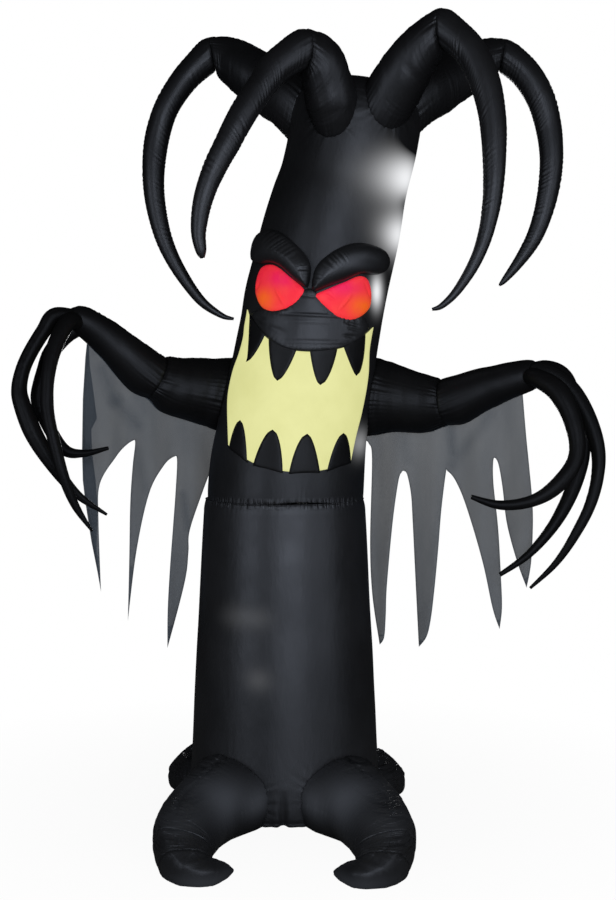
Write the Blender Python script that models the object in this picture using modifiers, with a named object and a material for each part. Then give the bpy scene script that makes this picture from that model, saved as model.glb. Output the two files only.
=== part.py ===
"""A haunted-tree yard inflatable: thin black cloth tubes held up by air, with branches, arms and root feet.

Metres, +Z up. The figure faces -Y, and the origin is the centre of the trunk's flat base.
"Left" and "right" are the viewer's: left is -X.
"""

import math

import bmesh
import bpy
from mathutils import Vector
from mathutils.bvhtree import BVHTree
from mathutils.geometry import delaunay_2d_cdt

# Driving sizes
SEAM_GAP = 0.0003  # between two pieces sewn together
CLOTH_GAP = 0.002  # between hanging cloth and what it hangs past
FINGER_GAP = 0.0015  # between two fingers where their roots meet
PANEL = 0.0025  # thickness of a flat sewn-on panel
SHEER = 0.002  # thickness of the sheer cloth
PATCH_SINK = 0.02  # how far a puffed panel starts inside the trunk before it is cut to fit
WAIST_Z = 1.417
CROWN_Z = 3.36
PRISM_DEPTH = 1.0  # length of the prisms that shape flat panels
WELD = 0.00001
CREASE = 50  # degrees, the least angle that is shaded sharp
MITRE_SPARE = 1.9  # in radii, how far a tube runs past a mitred elbow before it is cut
MITRE_REACH = 3.0  # in radii, how far from the elbow the cut works

# Sides of each kind of tube
TRUNK_SIDES = 36
STEM_SIDES = 14
CLAW_SIDES = 12
ARM_SIDES = 16
FINGER_SIDES = 10
FOOT_SIDES = 16

# How many rows each kind of tube is drawn through, and points each padded panel's outline
STEM_ROWS = 8
CLAW_ROWS = 16
UPPER_ARM_ROWS = 6
FORE_ARM_ROWS = 9
FINGER_ROWS = 14
EYE_POINTS = 24
BROW_POINTS = 30
MUZZLE_POINTS = 36

# Lower trunk, a turned shape. Columns: radius, height
LOWER_TRUNK = (
    (0.356, WAIST_Z - SEAM_GAP),
    (0.368, 1.395),
    (0.373, 1.360),
    (0.383, 1.155),
    (0.397, 0.883),
    (0.411, 0.657),
    (0.428, 0.290),
    (0.437, 0.150),
    (0.441, 0.060),
    (0.436, 0.022),
    (0.415, 0.000),
)

# Upper trunk, a leaning tube. Columns: x, y, z, radius
UPPER_TRUNK = (
    (0.005, 0, WAIST_Z, 0.356),
    (0.005, 0, 1.440, 0.362),
    (0.016, 0, 1.580, 0.357),
    (0.040, 0, 1.750, 0.345),
    (0.067, 0, 1.915, 0.334),
    (0.094, 0, 2.075, 0.327),
    (0.116, 0, 2.210, 0.326),
    (0.137, 0, 2.340, 0.327),
    (0.172, 0, 2.500, 0.324),
    (0.210, 0, 2.654, 0.322),
    (0.240, 0, 2.780, 0.314),
    (0.270, 0, 2.900, 0.303),
    (0.311, 0, 3.070, 0.303),
    (0.330, 0, 3.180, 0.296),
    (0.341, 0, 3.260, 0.265),
    (0.348, 0, 3.320, 0.205),
    (0.352, 0, 3.350, 0.130),
    (0.353, 0, CROWN_Z, 0.050),
)

# Branches on the crown. Each stem ends, and its claw starts, on the elbow seam. Columns: x, y, z, radius
HORNS = {
    "front_left": {
        "stem": (
            (0.235, -0.08, 2.97, 0.118),
            (0.220, -0.22, 3.11, 0.116),
            (0.210, -0.27, 3.20, 0.112),
            (0.188, -0.31, 3.28, 0.104),
            (0.150, -0.345, 3.35, 0.090),
            (0.095, -0.38, 3.405, 0.072),
        ),
        "claw": (
            (0.095, -0.38, 3.405, 0.072),
            (-0.02, -0.43, 3.325, 0.071),
            (-0.10, -0.48, 3.215, 0.064),
            (-0.17, -0.52, 3.10, 0.059),
            (-0.23, -0.55, 2.98, 0.055),
            (-0.29, -0.565, 2.86, 0.049),
            (-0.33, -0.575, 2.74, 0.040),
            (-0.35, -0.58, 2.61, 0.030),
            (-0.34, -0.58, 2.53, 0.020),
            (-0.33, -0.58, 2.505, 0.007),
        ),
    },
    "front_right": {
        "stem": (
            (0.345, -0.06, 3.03, 0.122),
            (0.430, -0.16, 3.175, 0.122),
            (0.480, -0.22, 3.25, 0.118),
            (0.530, -0.27, 3.32, 0.112),
            (0.580, -0.31, 3.39, 0.102),
            (0.633, -0.35, 3.45, 0.088),
            (0.690, -0.38, 3.505, 0.071),
        ),
        "claw": (
            (0.690, -0.38, 3.505, 0.071),
            (0.795, -0.44, 3.395, 0.070),
            (0.860, -0.49, 3.25, 0.065),
            (0.890, -0.53, 3.09, 0.058),
            (0.895, -0.56, 2.94, 0.051),
            (0.890, -0.58, 2.79, 0.043),
            (0.860, -0.59, 2.64, 0.034),
            (0.810, -0.60, 2.50, 0.025),
            (0.735, -0.60, 2.36, 0.016),
            (0.670, -0.60, 2.29, 0.011),
            (0.635, -0.60, 2.27, 0.006),
        ),
    },
    "back_left": {
        "stem": (
            (0.200, 0.03, 3.09, 0.130),
            (0.060, 0.08, 3.215, 0.130),
            (-0.050, 0.16, 3.31, 0.124),
            (-0.150, 0.21, 3.39, 0.114),
            (-0.250, 0.26, 3.465, 0.095),
            (-0.350, 0.28, 3.52, 0.070),
        ),
        "claw": (
            (-0.350, 0.28, 3.52, 0.070),
            (-0.475, 0.26, 3.415, 0.066),
            (-0.560, 0.24, 3.265, 0.063),
            (-0.605, 0.23, 3.11, 0.058),
            (-0.620, 0.21, 2.94, 0.052),
            (-0.605, 0.20, 2.78, 0.046),
            (-0.560, 0.20, 2.62, 0.039),
            (-0.490, 0.20, 2.47, 0.030),
            (-0.395, 0.20, 2.34, 0.020),
            (-0.300, 0.20, 2.275, 0.012),
            (-0.250, 0.20, 2.265, 0.006),
        ),
    },
    "back_right": {
        "stem": (
            (0.440, 0.03, 3.09, 0.130),
            (0.590, 0.08, 3.215, 0.130),
            (0.700, 0.16, 3.32, 0.124),
            (0.810, 0.21, 3.40, 0.114),
            (0.920, 0.26, 3.475, 0.094),
            (1.030, 0.28, 3.52, 0.069),
        ),
        "claw": (
            (1.030, 0.28, 3.52, 0.069),
            (1.130, 0.26, 3.43, 0.068),
            (1.205, 0.24, 3.31, 0.064),
            (1.245, 0.23, 3.18, 0.060),
            (1.260, 0.21, 3.04, 0.056),
            (1.250, 0.20, 2.90, 0.051),
            (1.220, 0.20, 2.77, 0.044),
            (1.170, 0.20, 2.64, 0.036),
            (1.100, 0.20, 2.52, 0.026),
            (1.040, 0.20, 2.445, 0.015),
            (1.015, 0.20, 2.42, 0.006),
        ),
    },
}

# Arms. The upper tube ends, and the fore tube starts, on the elbow seam. Columns: x, y, z, radius
ARMS = {
    "left": {
        "upper": (
            (-0.102, 0.120, 1.899, 0.177),
            (-0.264, 0.108, 1.909, 0.174),
            (-0.375, 0.070, 1.929, 0.159),
            (-0.486, 0.020, 1.949, 0.139),
            (-0.597, -0.030, 1.974, 0.114),
        ),
        "fore": (
            (-0.597, -0.030, 1.974, 0.114),
            (-0.708, -0.075, 2.070, 0.093),
            (-0.819, -0.120, 2.161, 0.076),
            (-0.910, -0.165, 2.227, 0.067),
            (-0.946, -0.180, 2.247, 0.056),
            (-0.966, -0.190, 2.257, 0.030),
        ),
    },
    "right": {
        "upper": (
            (0.201, 0.100, 1.909, 0.187),
            (0.413, 0.085, 1.899, 0.182),
            (0.514, 0.055, 1.889, 0.160),
            (0.625, 0.015, 1.873, 0.137),
            (0.736, -0.030, 1.858, 0.116),
        ),
        "fore": (
            (0.736, -0.030, 1.858, 0.116),
            (0.878, -0.080, 1.919, 0.099),
            (1.009, -0.130, 1.964, 0.082),
            (1.100, -0.160, 1.990, 0.071),
            (1.141, -0.175, 2.000, 0.059),
            (1.166, -0.185, 2.005, 0.030),
        ),
    },
}

# Fingers, from inside the end of the fore tube to the tip. Columns: x, y, z, radius
FINGERS = {
    "left_1": (
        (-0.916, -0.180, 2.257, 0.030),
        (-0.976, -0.220, 2.267, 0.037),
        (-1.072, -0.260, 2.177, 0.043),
        (-1.133, -0.300, 2.030, 0.043),
        (-1.143, -0.330, 1.878, 0.042),
        (-1.088, -0.350, 1.727, 0.037),
        (-1.007, -0.350, 1.585, 0.028),
        (-0.911, -0.330, 1.469, 0.018),
        (-0.784, -0.310, 1.378, 0.006),
    ),
    "left_2": (
        (-0.910, -0.180, 2.222, 0.030),
        (-0.951, -0.260, 2.237, 0.038),
        (-0.997, -0.340, 2.141, 0.036),
        (-1.022, -0.400, 2.010, 0.031),
        (-1.022, -0.440, 1.858, 0.028),
        (-0.992, -0.460, 1.717, 0.027),
        (-0.956, -0.460, 1.575, 0.025),
        (-0.906, -0.440, 1.434, 0.018),
        (-0.835, -0.420, 1.317, 0.006),
    ),
    "left_3": (
        (-0.910, -0.150, 2.207, 0.035),
        (-0.961, -0.150, 2.177, 0.043),
        (-1.032, -0.170, 2.086, 0.043),
        (-1.072, -0.190, 1.990, 0.040),
        (-1.082, -0.210, 1.878, 0.036),
        (-1.052, -0.230, 1.767, 0.030),
        (-0.991, -0.250, 1.676, 0.023),
        (-0.890, -0.260, 1.651, 0.016),
        (-0.794, -0.260, 1.676, 0.006),
    ),
    "right_1": (
        (1.100, -0.180, 2.005, 0.032),
        (1.161, -0.230, 2.005, 0.042),
        (1.277, -0.270, 1.919, 0.040),
        (1.353, -0.320, 1.777, 0.037),
        (1.383, -0.350, 1.626, 0.031),
        (1.353, -0.370, 1.464, 0.026),
        (1.282, -0.370, 1.312, 0.021),
        (1.196, -0.350, 1.176, 0.015),
        (1.095, -0.330, 1.060, 0.006),
    ),
    "right_2": (
        (1.105, -0.150, 2.010, 0.035),
        (1.181, -0.140, 2.020, 0.045),
        (1.287, -0.150, 1.929, 0.047),
        (1.343, -0.170, 1.777, 0.040),
        (1.343, -0.190, 1.616, 0.035),
        (1.292, -0.210, 1.454, 0.029),
        (1.211, -0.230, 1.313, 0.021),
        (1.100, -0.240, 1.191, 0.014),
        (0.974, -0.240, 1.100, 0.006),
    ),
    "right_3": (
        (1.090, -0.180, 1.974, 0.035),
        (1.121, -0.260, 1.974, 0.044),
        (1.212, -0.340, 1.919, 0.045),
        (1.272, -0.390, 1.787, 0.040),
        (1.277, -0.430, 1.646, 0.035),
        (1.202, -0.460, 1.525, 0.030),
        (1.091, -0.470, 1.454, 0.025),
        (0.949, -0.460, 1.434, 0.018),
        (0.823, -0.450, 1.469, 0.006),
    ),
}

# Front root foot on the viewer's left; the right one mirrors it. Columns: x, y, z, radius
FRONT_FOOT = (
    (-0.200, -0.240, 0.080, 0.200),
    (-0.268, -0.400, 0.100, 0.224),
    (-0.335, -0.560, 0.118, 0.180),
    (-0.374, -0.720, 0.122, 0.155),
    (-0.399, -0.860, 0.114, 0.141),
    (-0.402, -0.970, 0.098, 0.131),
    (-0.380, -1.050, 0.070, 0.117),
    (-0.345, -1.100, 0.042, 0.100),
    (-0.295, -1.128, 0.030, 0.078),
    (-0.245, -1.130, 0.030, 0.052),
    (-0.208, -1.112, 0.036, 0.028),
    (-0.192, -1.095, 0.040, 0.010),
)
# Seams across it. Columns: place, in rows of FRONT_FOOT from 0; turn outwards, lean forward, in degrees
FRONT_FOOT_SEAMS = ((4.45, 24, 22), (5.1, 22, 34), (6.2, 8, 44))
FRONT_FOOT_PIECES = ("root", "gore", "band", "toe")
FRONT_RIGHT_SHIFT = (0.015, 0)  # x, y, from an exact mirror

# Back root foot on the viewer's left; the right one mirrors it. Columns: x, y, z, radius
BACK_FOOT = (
    (-0.200, 0.080, 0.100, 0.140),
    (-0.300, 0.110, 0.108, 0.142),
    (-0.390, 0.165, 0.095, 0.132),
    (-0.443, 0.270, 0.084, 0.122),
    (-0.438, 0.385, 0.070, 0.104),
    (-0.378, 0.475, 0.052, 0.080),
    (-0.300, 0.515, 0.040, 0.045),
    (-0.260, 0.515, 0.040, 0.012),
)
BACK_FOOT_SEAMS = ((3.4, 0, 0),)
BACK_FOOT_PIECES = ("root", "toe")
BACK_RIGHT_SHIFT = (0.030, -0.10)

# Columns: side, mirror, shift of the front foot, shift of the back foot
FEET_PLACED = (
    ("left", 1, (0, 0), (0, 0)),
    ("right", -1, FRONT_RIGHT_SHIFT, BACK_RIGHT_SHIFT),
)

# Face, as outlines seen from the front. Columns: x, z
MOUTH_LEFT = (
    (-0.160, 2.292), (-0.178, 2.230), (-0.190, 2.165), (-0.210, 2.090), (-0.240, 2.010),
    (-0.258, 1.920), (-0.260, 1.815), (-0.246, 1.684),
)
MOUTH_LOWER_LIP = (
    (-0.246, 1.684), (-0.160, 1.625), (-0.065, 1.588), (0.065, 1.570), (0.160, 1.576), (0.230, 1.590),
    (0.300, 1.612),
)
MOUTH_RIGHT = (
    (0.300, 1.612), (0.325, 1.730), (0.350, 1.815), (0.370, 1.910), (0.384, 2.000), (0.385, 2.110),
    (0.398, 2.212),
)
MOUTH_TOP = (
    (0.398, 2.212), (0.365, 2.180), (0.310, 2.138), (0.250, 2.115), (0.165, 2.102), (0.080, 2.102),
    (0.010, 2.115), (-0.060, 2.153), (-0.110, 2.203), (-0.148, 2.258), (-0.160, 2.292),
)

# Teeth. Columns: left root x, z, tip x, z, right root x, z, fullness of the left side, of the right side
UPPER_TEETH = (
    (-0.149, 2.257, -0.162, 2.055, -0.076, 2.166, 1.0, 0.4),
    (-0.062, 2.153, -0.025, 1.972, 0.062, 2.104, 1.0, 0.4),
    (0.116, 2.100, 0.162, 1.953, 0.240, 2.113, 0.6, 0.6),
    (0.262, 2.117, 0.322, 1.993, 0.362, 2.176, 0.2, 1.0),
)
LOWER_TEETH = (
    (-0.244, 1.682, -0.196, 1.797, -0.160, 1.625, 0.6, 0.9),
    (-0.130, 1.611, -0.046, 1.758, -0.004, 1.579, 0.5, 1.0),
    (0.026, 1.575, 0.105, 1.740, 0.160, 1.577, 0.6, 0.6),
    (0.192, 1.582, 0.265, 1.740, 0.299, 1.613, 0.5, 0.9),
)
TOOTH_STEPS = 6
ROOT_MARGIN = 0.02  # how far a tooth's prism reaches past the mouth's edge before it is cut to it

EYES = {
    "left": (
        (-0.105, 2.462), (-0.095, 2.484), (-0.050, 2.488), (-0.015, 2.472), (0.035, 2.430),
        (0.092, 2.374), (0.075, 2.338), (0.045, 2.308), (0.005, 2.288), (-0.040, 2.279),
        (-0.080, 2.288), (-0.110, 2.318), (-0.125, 2.362), (-0.120, 2.415),
    ),
    "right": (
        (0.142, 2.350), (0.205, 2.380), (0.270, 2.406), (0.335, 2.436), (0.375, 2.428),
        (0.394, 2.385), (0.398, 2.338), (0.380, 2.295), (0.345, 2.258), (0.310, 2.244),
        (0.270, 2.248), (0.230, 2.266), (0.190, 2.298), (0.158, 2.328),
    ),
}
BROWS = {
    "left": (
        (-0.118, 2.560), (-0.105, 2.605), (-0.080, 2.632), (-0.045, 2.638), (0.005, 2.615),
        (0.055, 2.575), (0.095, 2.530), (0.120, 2.485), (0.122, 2.440), (0.108, 2.384),
        (0.070, 2.400), (0.035, 2.436), (-0.005, 2.478), (-0.045, 2.495), (-0.090, 2.496),
        (-0.118, 2.515),
    ),
    "right": (
        (0.133, 2.362), (0.126, 2.395), (0.136, 2.450), (0.155, 2.487), (0.190, 2.520),
        (0.235, 2.550), (0.290, 2.573), (0.345, 2.580), (0.400, 2.570), (0.435, 2.550),
        (0.452, 2.515), (0.448, 2.478), (0.425, 2.450), (0.385, 2.442), (0.335, 2.444),
        (0.270, 2.414), (0.205, 2.388),
    ),
}
MUZZLE = (
    (-0.136, 2.270), (-0.098, 2.210), (-0.052, 2.162), (0.012, 2.123), (0.080, 2.110),
    (0.165, 2.110), (0.248, 2.123), (0.308, 2.147), (0.356, 2.184), (0.370, 2.214), (0.330, 2.238),
    (0.272, 2.240), (0.222, 2.258), (0.180, 2.292), (0.145, 2.325), (0.098, 2.335), (0.052, 2.302),
    (0.008, 2.280), (-0.040, 2.270), (-0.090, 2.278),
)
BROW_CROWN = 0.060
EYE_CROWN = 0.014
MUZZLE_CROWN = 0.035
PATCH_RIM = 0.003  # thickness of a puffed panel at its sewn rim
PATCH_GRID = 0.035

# Sheer cloth under each arm: its lower edge from -X to +X, its tips and notches sharp. Columns: x, z, sharp
DRAPES = {
    "left": (
        (-0.865, 2.200, 1),
        (-0.885, 2.080, 0),
        (-0.900, 1.890, 0),
        (-0.900, 1.580, 0),
        (-0.880, 1.280, 0),
        (-0.830, 1.020, 1),
        (-0.840, 1.340, 0),
        (-0.832, 1.520, 0),
        (-0.770, 1.630, 0),
        (-0.685, 1.705, 1),
        (-0.700, 1.410, 0),
        (-0.720, 0.880, 1),
        (-0.680, 1.180, 0),
        (-0.620, 1.450, 0),
        (-0.560, 1.590, 0),
        (-0.505, 1.635, 1),
        (-0.505, 1.360, 0),
        (-0.540, 0.730, 1),
        (-0.460, 1.030, 0),
        (-0.435, 1.270, 0),
        (-0.395, 1.440, 0),
        (-0.335, 1.620, 0),
        (-0.300, 1.745, 1),
    ),
    "right": (
        (0.365, 1.700, 1),
        (0.405, 1.600, 0),
        (0.400, 1.210, 0),
        (0.440, 0.740, 1),
        (0.468, 1.010, 0),
        (0.500, 1.310, 0),
        (0.545, 1.560, 1),
        (0.590, 1.330, 0),
        (0.630, 0.750, 1),
        (0.680, 0.990, 0),
        (0.712, 1.320, 0),
        (0.745, 1.560, 1),
        (0.820, 1.420, 0),
        (0.895, 1.140, 0),
        (0.970, 0.870, 1),
        (0.972, 1.240, 0),
        (0.945, 1.630, 1),
        (0.995, 1.420, 0),
        (1.075, 1.060, 1),
        (1.105, 1.350, 0),
        (1.085, 1.650, 0),
        (1.055, 1.930, 1),
    ),
}
DRAPE_GRID = 0.09
DRAPE_WAVE = 0.022  # how far the cloth swings out of its plane in soft folds
DRAPE_WAVE_PITCH = 0.19
DRAPE_WAVE_DROP = 0.35  # depth below the arm at which the folds are fully open

# Finishes. Columns: name, colour, roughness
BLACK = ("black_satin", (0.012, 0.012, 0.014, 1), 0.45)
YELLOW = ("yellow_cloth", (0.80, 0.80, 0.30, 1), 0.6)
RED = ("red_cloth", (0.90, 0.05, 0.07, 1), 0.5)
GAUZE = ("sheer_black", (0.10, 0.12, 0.13, 1), 0.8)

for old in list(bpy.data.objects):
    bpy.data.objects.remove(old)
parts = bpy.data.collections.new("inflatable_monster")
cutters = bpy.data.collections.new("cutters")
bpy.context.scene.collection.children.link(parts)
bpy.context.scene.collection.children.link(cutters)
cutters.hide_render = True


def material(finish):
    name, colour, roughness = finish
    found = bpy.data.materials.get(name)
    if found:
        return found
    made = bpy.data.materials.new(name)
    made.use_nodes = True
    shader = made.node_tree.nodes["Principled BSDF"]
    shader.inputs["Base Color"].default_value = colour
    shader.inputs["Roughness"].default_value = roughness
    made.diffuse_color = colour
    return made


def smooth_row(rows, value):
    """The row at a value counted in rows from 0, by Catmull-Rom between the given ones."""
    last = len(rows) - 1
    start = min(int(value), last - 1)
    f = value - start
    near = [rows[max(0, min(last, start + step))] for step in (-1, 0, 1, 2)]
    return [
        0.5 * (2 * b + (c - a) * f + (2 * a - 5 * b + 4 * c - d) * f * f + (3 * b - a - 3 * c + d) * f**3)
        for a, b, c, d in zip(*near)
    ]


def resample(rows, count):
    last = len(rows) - 1
    return [smooth_row(rows, i * last / (count - 1)) for i in range(count)]


def smooth_loop(points, count):
    """A closed outline, made smooth."""
    near = 2
    around = [*points[-near:], *points, *points[: near + 1]]
    return [smooth_row(around, near + i * len(points) / count) for i in range(count)]


def grown(rows, growth):
    """The same tube, this much fatter, and longer at both ends."""
    rows = [list(row) for row in rows]
    for end, inner in ((0, 1), (-1, -2)):
        outwards = (Vector(rows[end][:3]) - Vector(rows[inner][:3])).normalized()
        rows[end][:3] = Vector(rows[end][:3]) + outwards * growth
    return [(x, y, z, radius + growth) for x, y, z, radius in rows]


def placed(obj, collection, finish=None):
    """The object in its collection, with its finish, shaded smooth where it is round."""
    collection.objects.link(obj)
    if collection is cutters:
        obj.hide_render = True
        obj.display_type = "WIRE"
    if finish:
        obj.data.materials.clear()
        obj.data.materials.append(material(finish))
        obj.data.shade_smooth()
        obj.data.set_sharp_from_angle(angle=math.radians(CREASE))
    return obj


def as_mesh(curve, collection, finish=None):
    """The curve made a mesh object, with its caps welded on."""
    bpy.context.scene.collection.objects.link(curve)
    bpy.context.view_layer.update()
    evaluated = curve.evaluated_get(bpy.context.evaluated_depsgraph_get())
    mesh = bpy.data.meshes.new_from_object(evaluated)
    made = bmesh.new()
    made.from_mesh(mesh)
    bmesh.ops.remove_doubles(made, verts=made.verts, dist=WELD)
    made.transform(curve.matrix_world)
    bmesh.ops.recalc_face_normals(made, faces=made.faces)
    made.to_mesh(mesh)
    made.free()
    name = curve.name
    bpy.data.objects.remove(curve)
    return placed(bpy.data.objects.new(name, mesh), collection, finish)


def tube(name, rows, sides, collection, finish=None):
    """A round tube through rows of x, y, z and radius, with flat caps."""
    data = bpy.data.curves.new(name, "CURVE")
    data.dimensions = "3D"
    data.twist_mode = "MINIMUM"
    data.bevel_depth = 1.0
    data.bevel_resolution = sides // 2 - 2
    data.use_fill_caps = True
    spline = data.splines.new("POLY")
    spline.points.add(len(rows) - 1)
    for point, (x, y, z, radius) in zip(spline.points, rows):
        point.co = (x, y, z, 1)
        point.radius = radius
    return as_mesh(bpy.data.objects.new(name, data), collection, finish)


def trim(obj, point, outwards, reach=None):
    """Cuts off what lies outwards of a plane, within reach of its point, and closes the cut."""
    made = bmesh.new()
    made.from_mesh(obj.data)
    near = list(made.faces)
    if reach is not None:
        near = [face for face in made.faces if (face.calc_center_median() - point).length < reach]
    edges = {edge for face in near for edge in face.edges}
    verts = {vert for face in near for vert in face.verts}
    bmesh.ops.bisect_plane(
        made, geom=[*verts, *edges, *near], plane_co=point, plane_no=outwards, clear_outer=True, dist=WELD
    )
    rim = [edge for edge in made.edges if edge.is_boundary]
    bmesh.ops.holes_fill(made, edges=rim, sides=0)
    bmesh.ops.recalc_face_normals(made, faces=made.faces)
    made.to_mesh(obj.data)
    made.free()


def boolean(obj, cutter, operation):
    step = obj.modifiers.new(operation.lower() + " " + cutter.name, "BOOLEAN")
    step.operation = operation
    step.solver = "EXACT"
    step.object = cutter


def cut(obj, *solids):
    for solid in solids:
        boolean(obj, solid, "DIFFERENCE")


def lower_trunk(name, growth, collection, finish=None):
    """The lower trunk, turned about its upright axis, with flat ends."""
    top = LOWER_TRUNK[0][1] + growth
    profile = [(radius + growth, 0, height) for radius, height in LOWER_TRUNK]
    profile[0] = (profile[0][0], 0, top)
    profile[-1] = (profile[-1][0], 0, -growth)
    profile = [(0, 0, top), *profile, (0, 0, -growth)]
    mesh = bpy.data.meshes.new(name)
    mesh.from_pydata(profile, [(i, i + 1) for i in range(len(profile) - 1)], [])
    obj = bpy.data.objects.new(name, mesh)
    turn = obj.modifiers.new("turned", "SCREW")
    turn.axis = "Z"
    turn.steps = turn.render_steps = TRUNK_SIDES
    turn.use_merge_vertices = True
    turn.merge_threshold = WELD
    turn.use_normal_calculate = True
    return placed(obj, collection, finish)


def mitred_pair(names, first_rows, second_rows, sides, growth=0.0, collection=None, finish=None):
    """Two tubes that meet at a shared end point, each cut on the plane that halves their angle."""
    corner = Vector(first_rows[-1][:3])
    radius = first_rows[-1][3] + growth
    along_first = (corner - Vector(first_rows[-2][:3])).normalized()
    along_second = (Vector(second_rows[1][:3]) - corner).normalized()
    seam = (along_first + along_second).normalized()
    spare = MITRE_SPARE * radius
    past = (*(corner + along_first * spare), radius)
    before = (*(corner - along_second * spare), radius)
    first_rows = [*grown(first_rows, growth)[:-1], (*corner, radius), past]
    second_rows = [before, (*corner, radius), *grown(second_rows, growth)[1:]]
    gap = seam * (SEAM_GAP / 2 - growth)
    pair = []
    for name, rows, count, outwards in zip(names, (first_rows, second_rows), sides, (seam, -seam)):
        made = tube(name, rows, count, collection or parts, finish)
        trim(made, corner - gap if outwards is seam else corner + gap, outwards, MITRE_REACH * radius)
        pair.append(made)
    return pair


def add_horns(trunk):
    stems = {}
    for place, rows in HORNS.items():
        names = (f"horn_{place}_stem", f"horn_{place}_claw")
        stem_rows = resample(rows["stem"], STEM_ROWS)
        claw_rows = resample(rows["claw"], CLAW_ROWS)
        stem, _ = mitred_pair(names, stem_rows, claw_rows, (STEM_SIDES, CLAW_SIDES), finish=BLACK)
        cut(stem, trunk)
        stems[place] = stem
    room_rows = grown(resample(HORNS["front_left"]["stem"], STEM_ROWS), SEAM_GAP)
    room = tube("stem_room", room_rows, STEM_SIDES, cutters)
    cut(stems["front_right"], room)


def add_arm(side, trunk):
    """An arm sewn to the trunk, and its tubes as cutters for what is sewn to it."""
    upper = resample(ARMS[side]["upper"], UPPER_ARM_ROWS)
    fore = resample(ARMS[side]["fore"], FORE_ARM_ROWS)
    sides = (ARM_SIDES, ARM_SIDES)
    made, _ = mitred_pair((f"arm_{side}_upper", f"arm_{side}_fore"), upper, fore, sides, finish=BLACK)
    cut(made, trunk)
    names = (f"arm_{side}_upper_room", f"arm_{side}_fore_room")
    return mitred_pair(names, upper, fore, sides, SEAM_GAP, cutters)


def add_fingers(side, fore_room):
    """Each finger is cut to fit the fore tube, and the fingers before it on that hand."""
    rooms = [fore_room]
    for number in (1, 2, 3):
        name = f"{side}_{number}"
        rows = resample(FINGERS[name], FINGER_ROWS)
        cut(tube(f"finger_{name}", rows, FINGER_SIDES, parts, BLACK), *rooms)
        rooms.append(tube(f"finger_{name}_room", grown(rows, FINGER_GAP), FINGER_SIDES, cutters))


def ring_seams(rows, seams, side):
    """The planes of a foot's ring seams: a point, and the way towards the toe."""
    planes = []
    step = 0.1
    for value, turn, lean in seams:
        ahead = Vector(smooth_row(rows, value + step)[:3]) - Vector(smooth_row(rows, value - step)[:3])
        ahead.z = 0
        ahead.normalize()
        outer = ahead.cross(Vector((0, 0, 1))) * side
        ahead = ahead * math.cos(math.radians(turn)) + outer * math.sin(math.radians(turn))
        ahead = ahead * math.cos(math.radians(lean)) - Vector((0, 0, math.sin(math.radians(lean))))
        planes.append((Vector(smooth_row(rows, value)[:3]), ahead))
    return planes


def add_foot(name, rows, seams, pieces, side, shift, trunk):
    """A curved tapering tube in pieces parted at ring seams, flat where it meets the ground."""
    rows = [(x * side + shift[0], y + shift[1], z, radius) for x, y, z, radius in rows]
    planes = ring_seams(rows, seams, side)
    path = resample(rows, 2 * len(rows) - 1)
    for number, piece in enumerate(pieces):
        made = tube(f"foot_{name}_{piece}", path, FOOT_SIDES, parts, BLACK)
        if number > 0:
            point, ahead = planes[number - 1]
            trim(made, point + ahead * SEAM_GAP / 2, -ahead)
        if number < len(planes):
            point, ahead = planes[number]
            trim(made, point - ahead * SEAM_GAP / 2, ahead)
        trim(made, Vector((0, 0, 0)), Vector((0, 0, -1)))
        cut(made, trunk)


def prism(name, points, collection, finish=None, growth=0.0):
    """A prism through the figure's front, from an outline seen from the front."""
    data = bpy.data.curves.new(name, "CURVE")
    data.dimensions = "2D"
    data.fill_mode = "BOTH"
    data.extrude = PRISM_DEPTH / 2
    data.offset = growth
    spline = data.splines.new("POLY")
    spline.points.add(len(points) - 1)
    for point, (x, z) in zip(spline.points, points):
        point.co = (x, z, 0, 1)
    spline.use_cyclic_u = True
    obj = bpy.data.objects.new(name, data)
    obj.location = (0, -PRISM_DEPTH / 2, 0)
    obj.rotation_euler = (math.pi / 2, 0, 0)
    return as_mesh(obj, collection, finish)


def mouth_outline():
    points = []
    for edge in (MOUTH_LEFT, MOUTH_LOWER_LIP, MOUTH_RIGHT, MOUTH_TOP):
        points += resample(edge, 2 * len(edge) - 1)[:-1]
    return points


def tooth_side(root, tip, fullness):
    """A tooth's edge from its root to its tip: straight, or full like a quarter of an ellipse."""
    points = []
    for step in range(TOOTH_STEPS):
        drop = step / TOOTH_STEPS
        sideways = (1 - fullness) * drop + fullness * (1 - math.sqrt(1 - drop * drop))
        points.append((root[0] + (tip[0] - root[0]) * sideways, root[1] + (tip[1] - root[1]) * drop))
    return points


def tooth_outline(row):
    left_x, left_z, tip_x, tip_z, right_x, right_z, left_full, right_full = row
    tip = (tip_x, tip_z)
    left = tooth_side((left_x, left_z), tip, left_full)
    right = tooth_side((right_x, right_z), tip, right_full)
    past = math.copysign(ROOT_MARGIN, left_z - tip_z)
    return [(left_x, left_z + past), *left, tip, *reversed(right), (right_x, right_z + past)]


def add_mouth(inner):
    """The yellow panel, flat on the trunk, and the black teeth let into its edges."""
    outer = tube("trunk_plus_panel", grown(UPPER_TRUNK, SEAM_GAP + PANEL), TRUNK_SIDES, cutters)
    area = prism("mouth_area", mouth_outline(), cutters)
    mouth = prism("mouth", mouth_outline(), parts, YELLOW)
    for jaw, teeth in (("upper", UPPER_TEETH), ("lower", LOWER_TEETH)):
        for number, row in enumerate(teeth, 1):
            name = f"tooth_{jaw}_{number}"
            tooth = prism(name, tooth_outline(row), parts, BLACK)
            boolean(tooth, area, "INTERSECT")
            boolean(tooth, outer, "INTERSECT")
            cut(tooth, inner)
            cut(mouth, prism(name + "_room", tooth_outline(row), cutters, growth=SEAM_GAP))
    boolean(mouth, outer, "INTERSECT")
    cut(mouth, inner)


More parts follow.
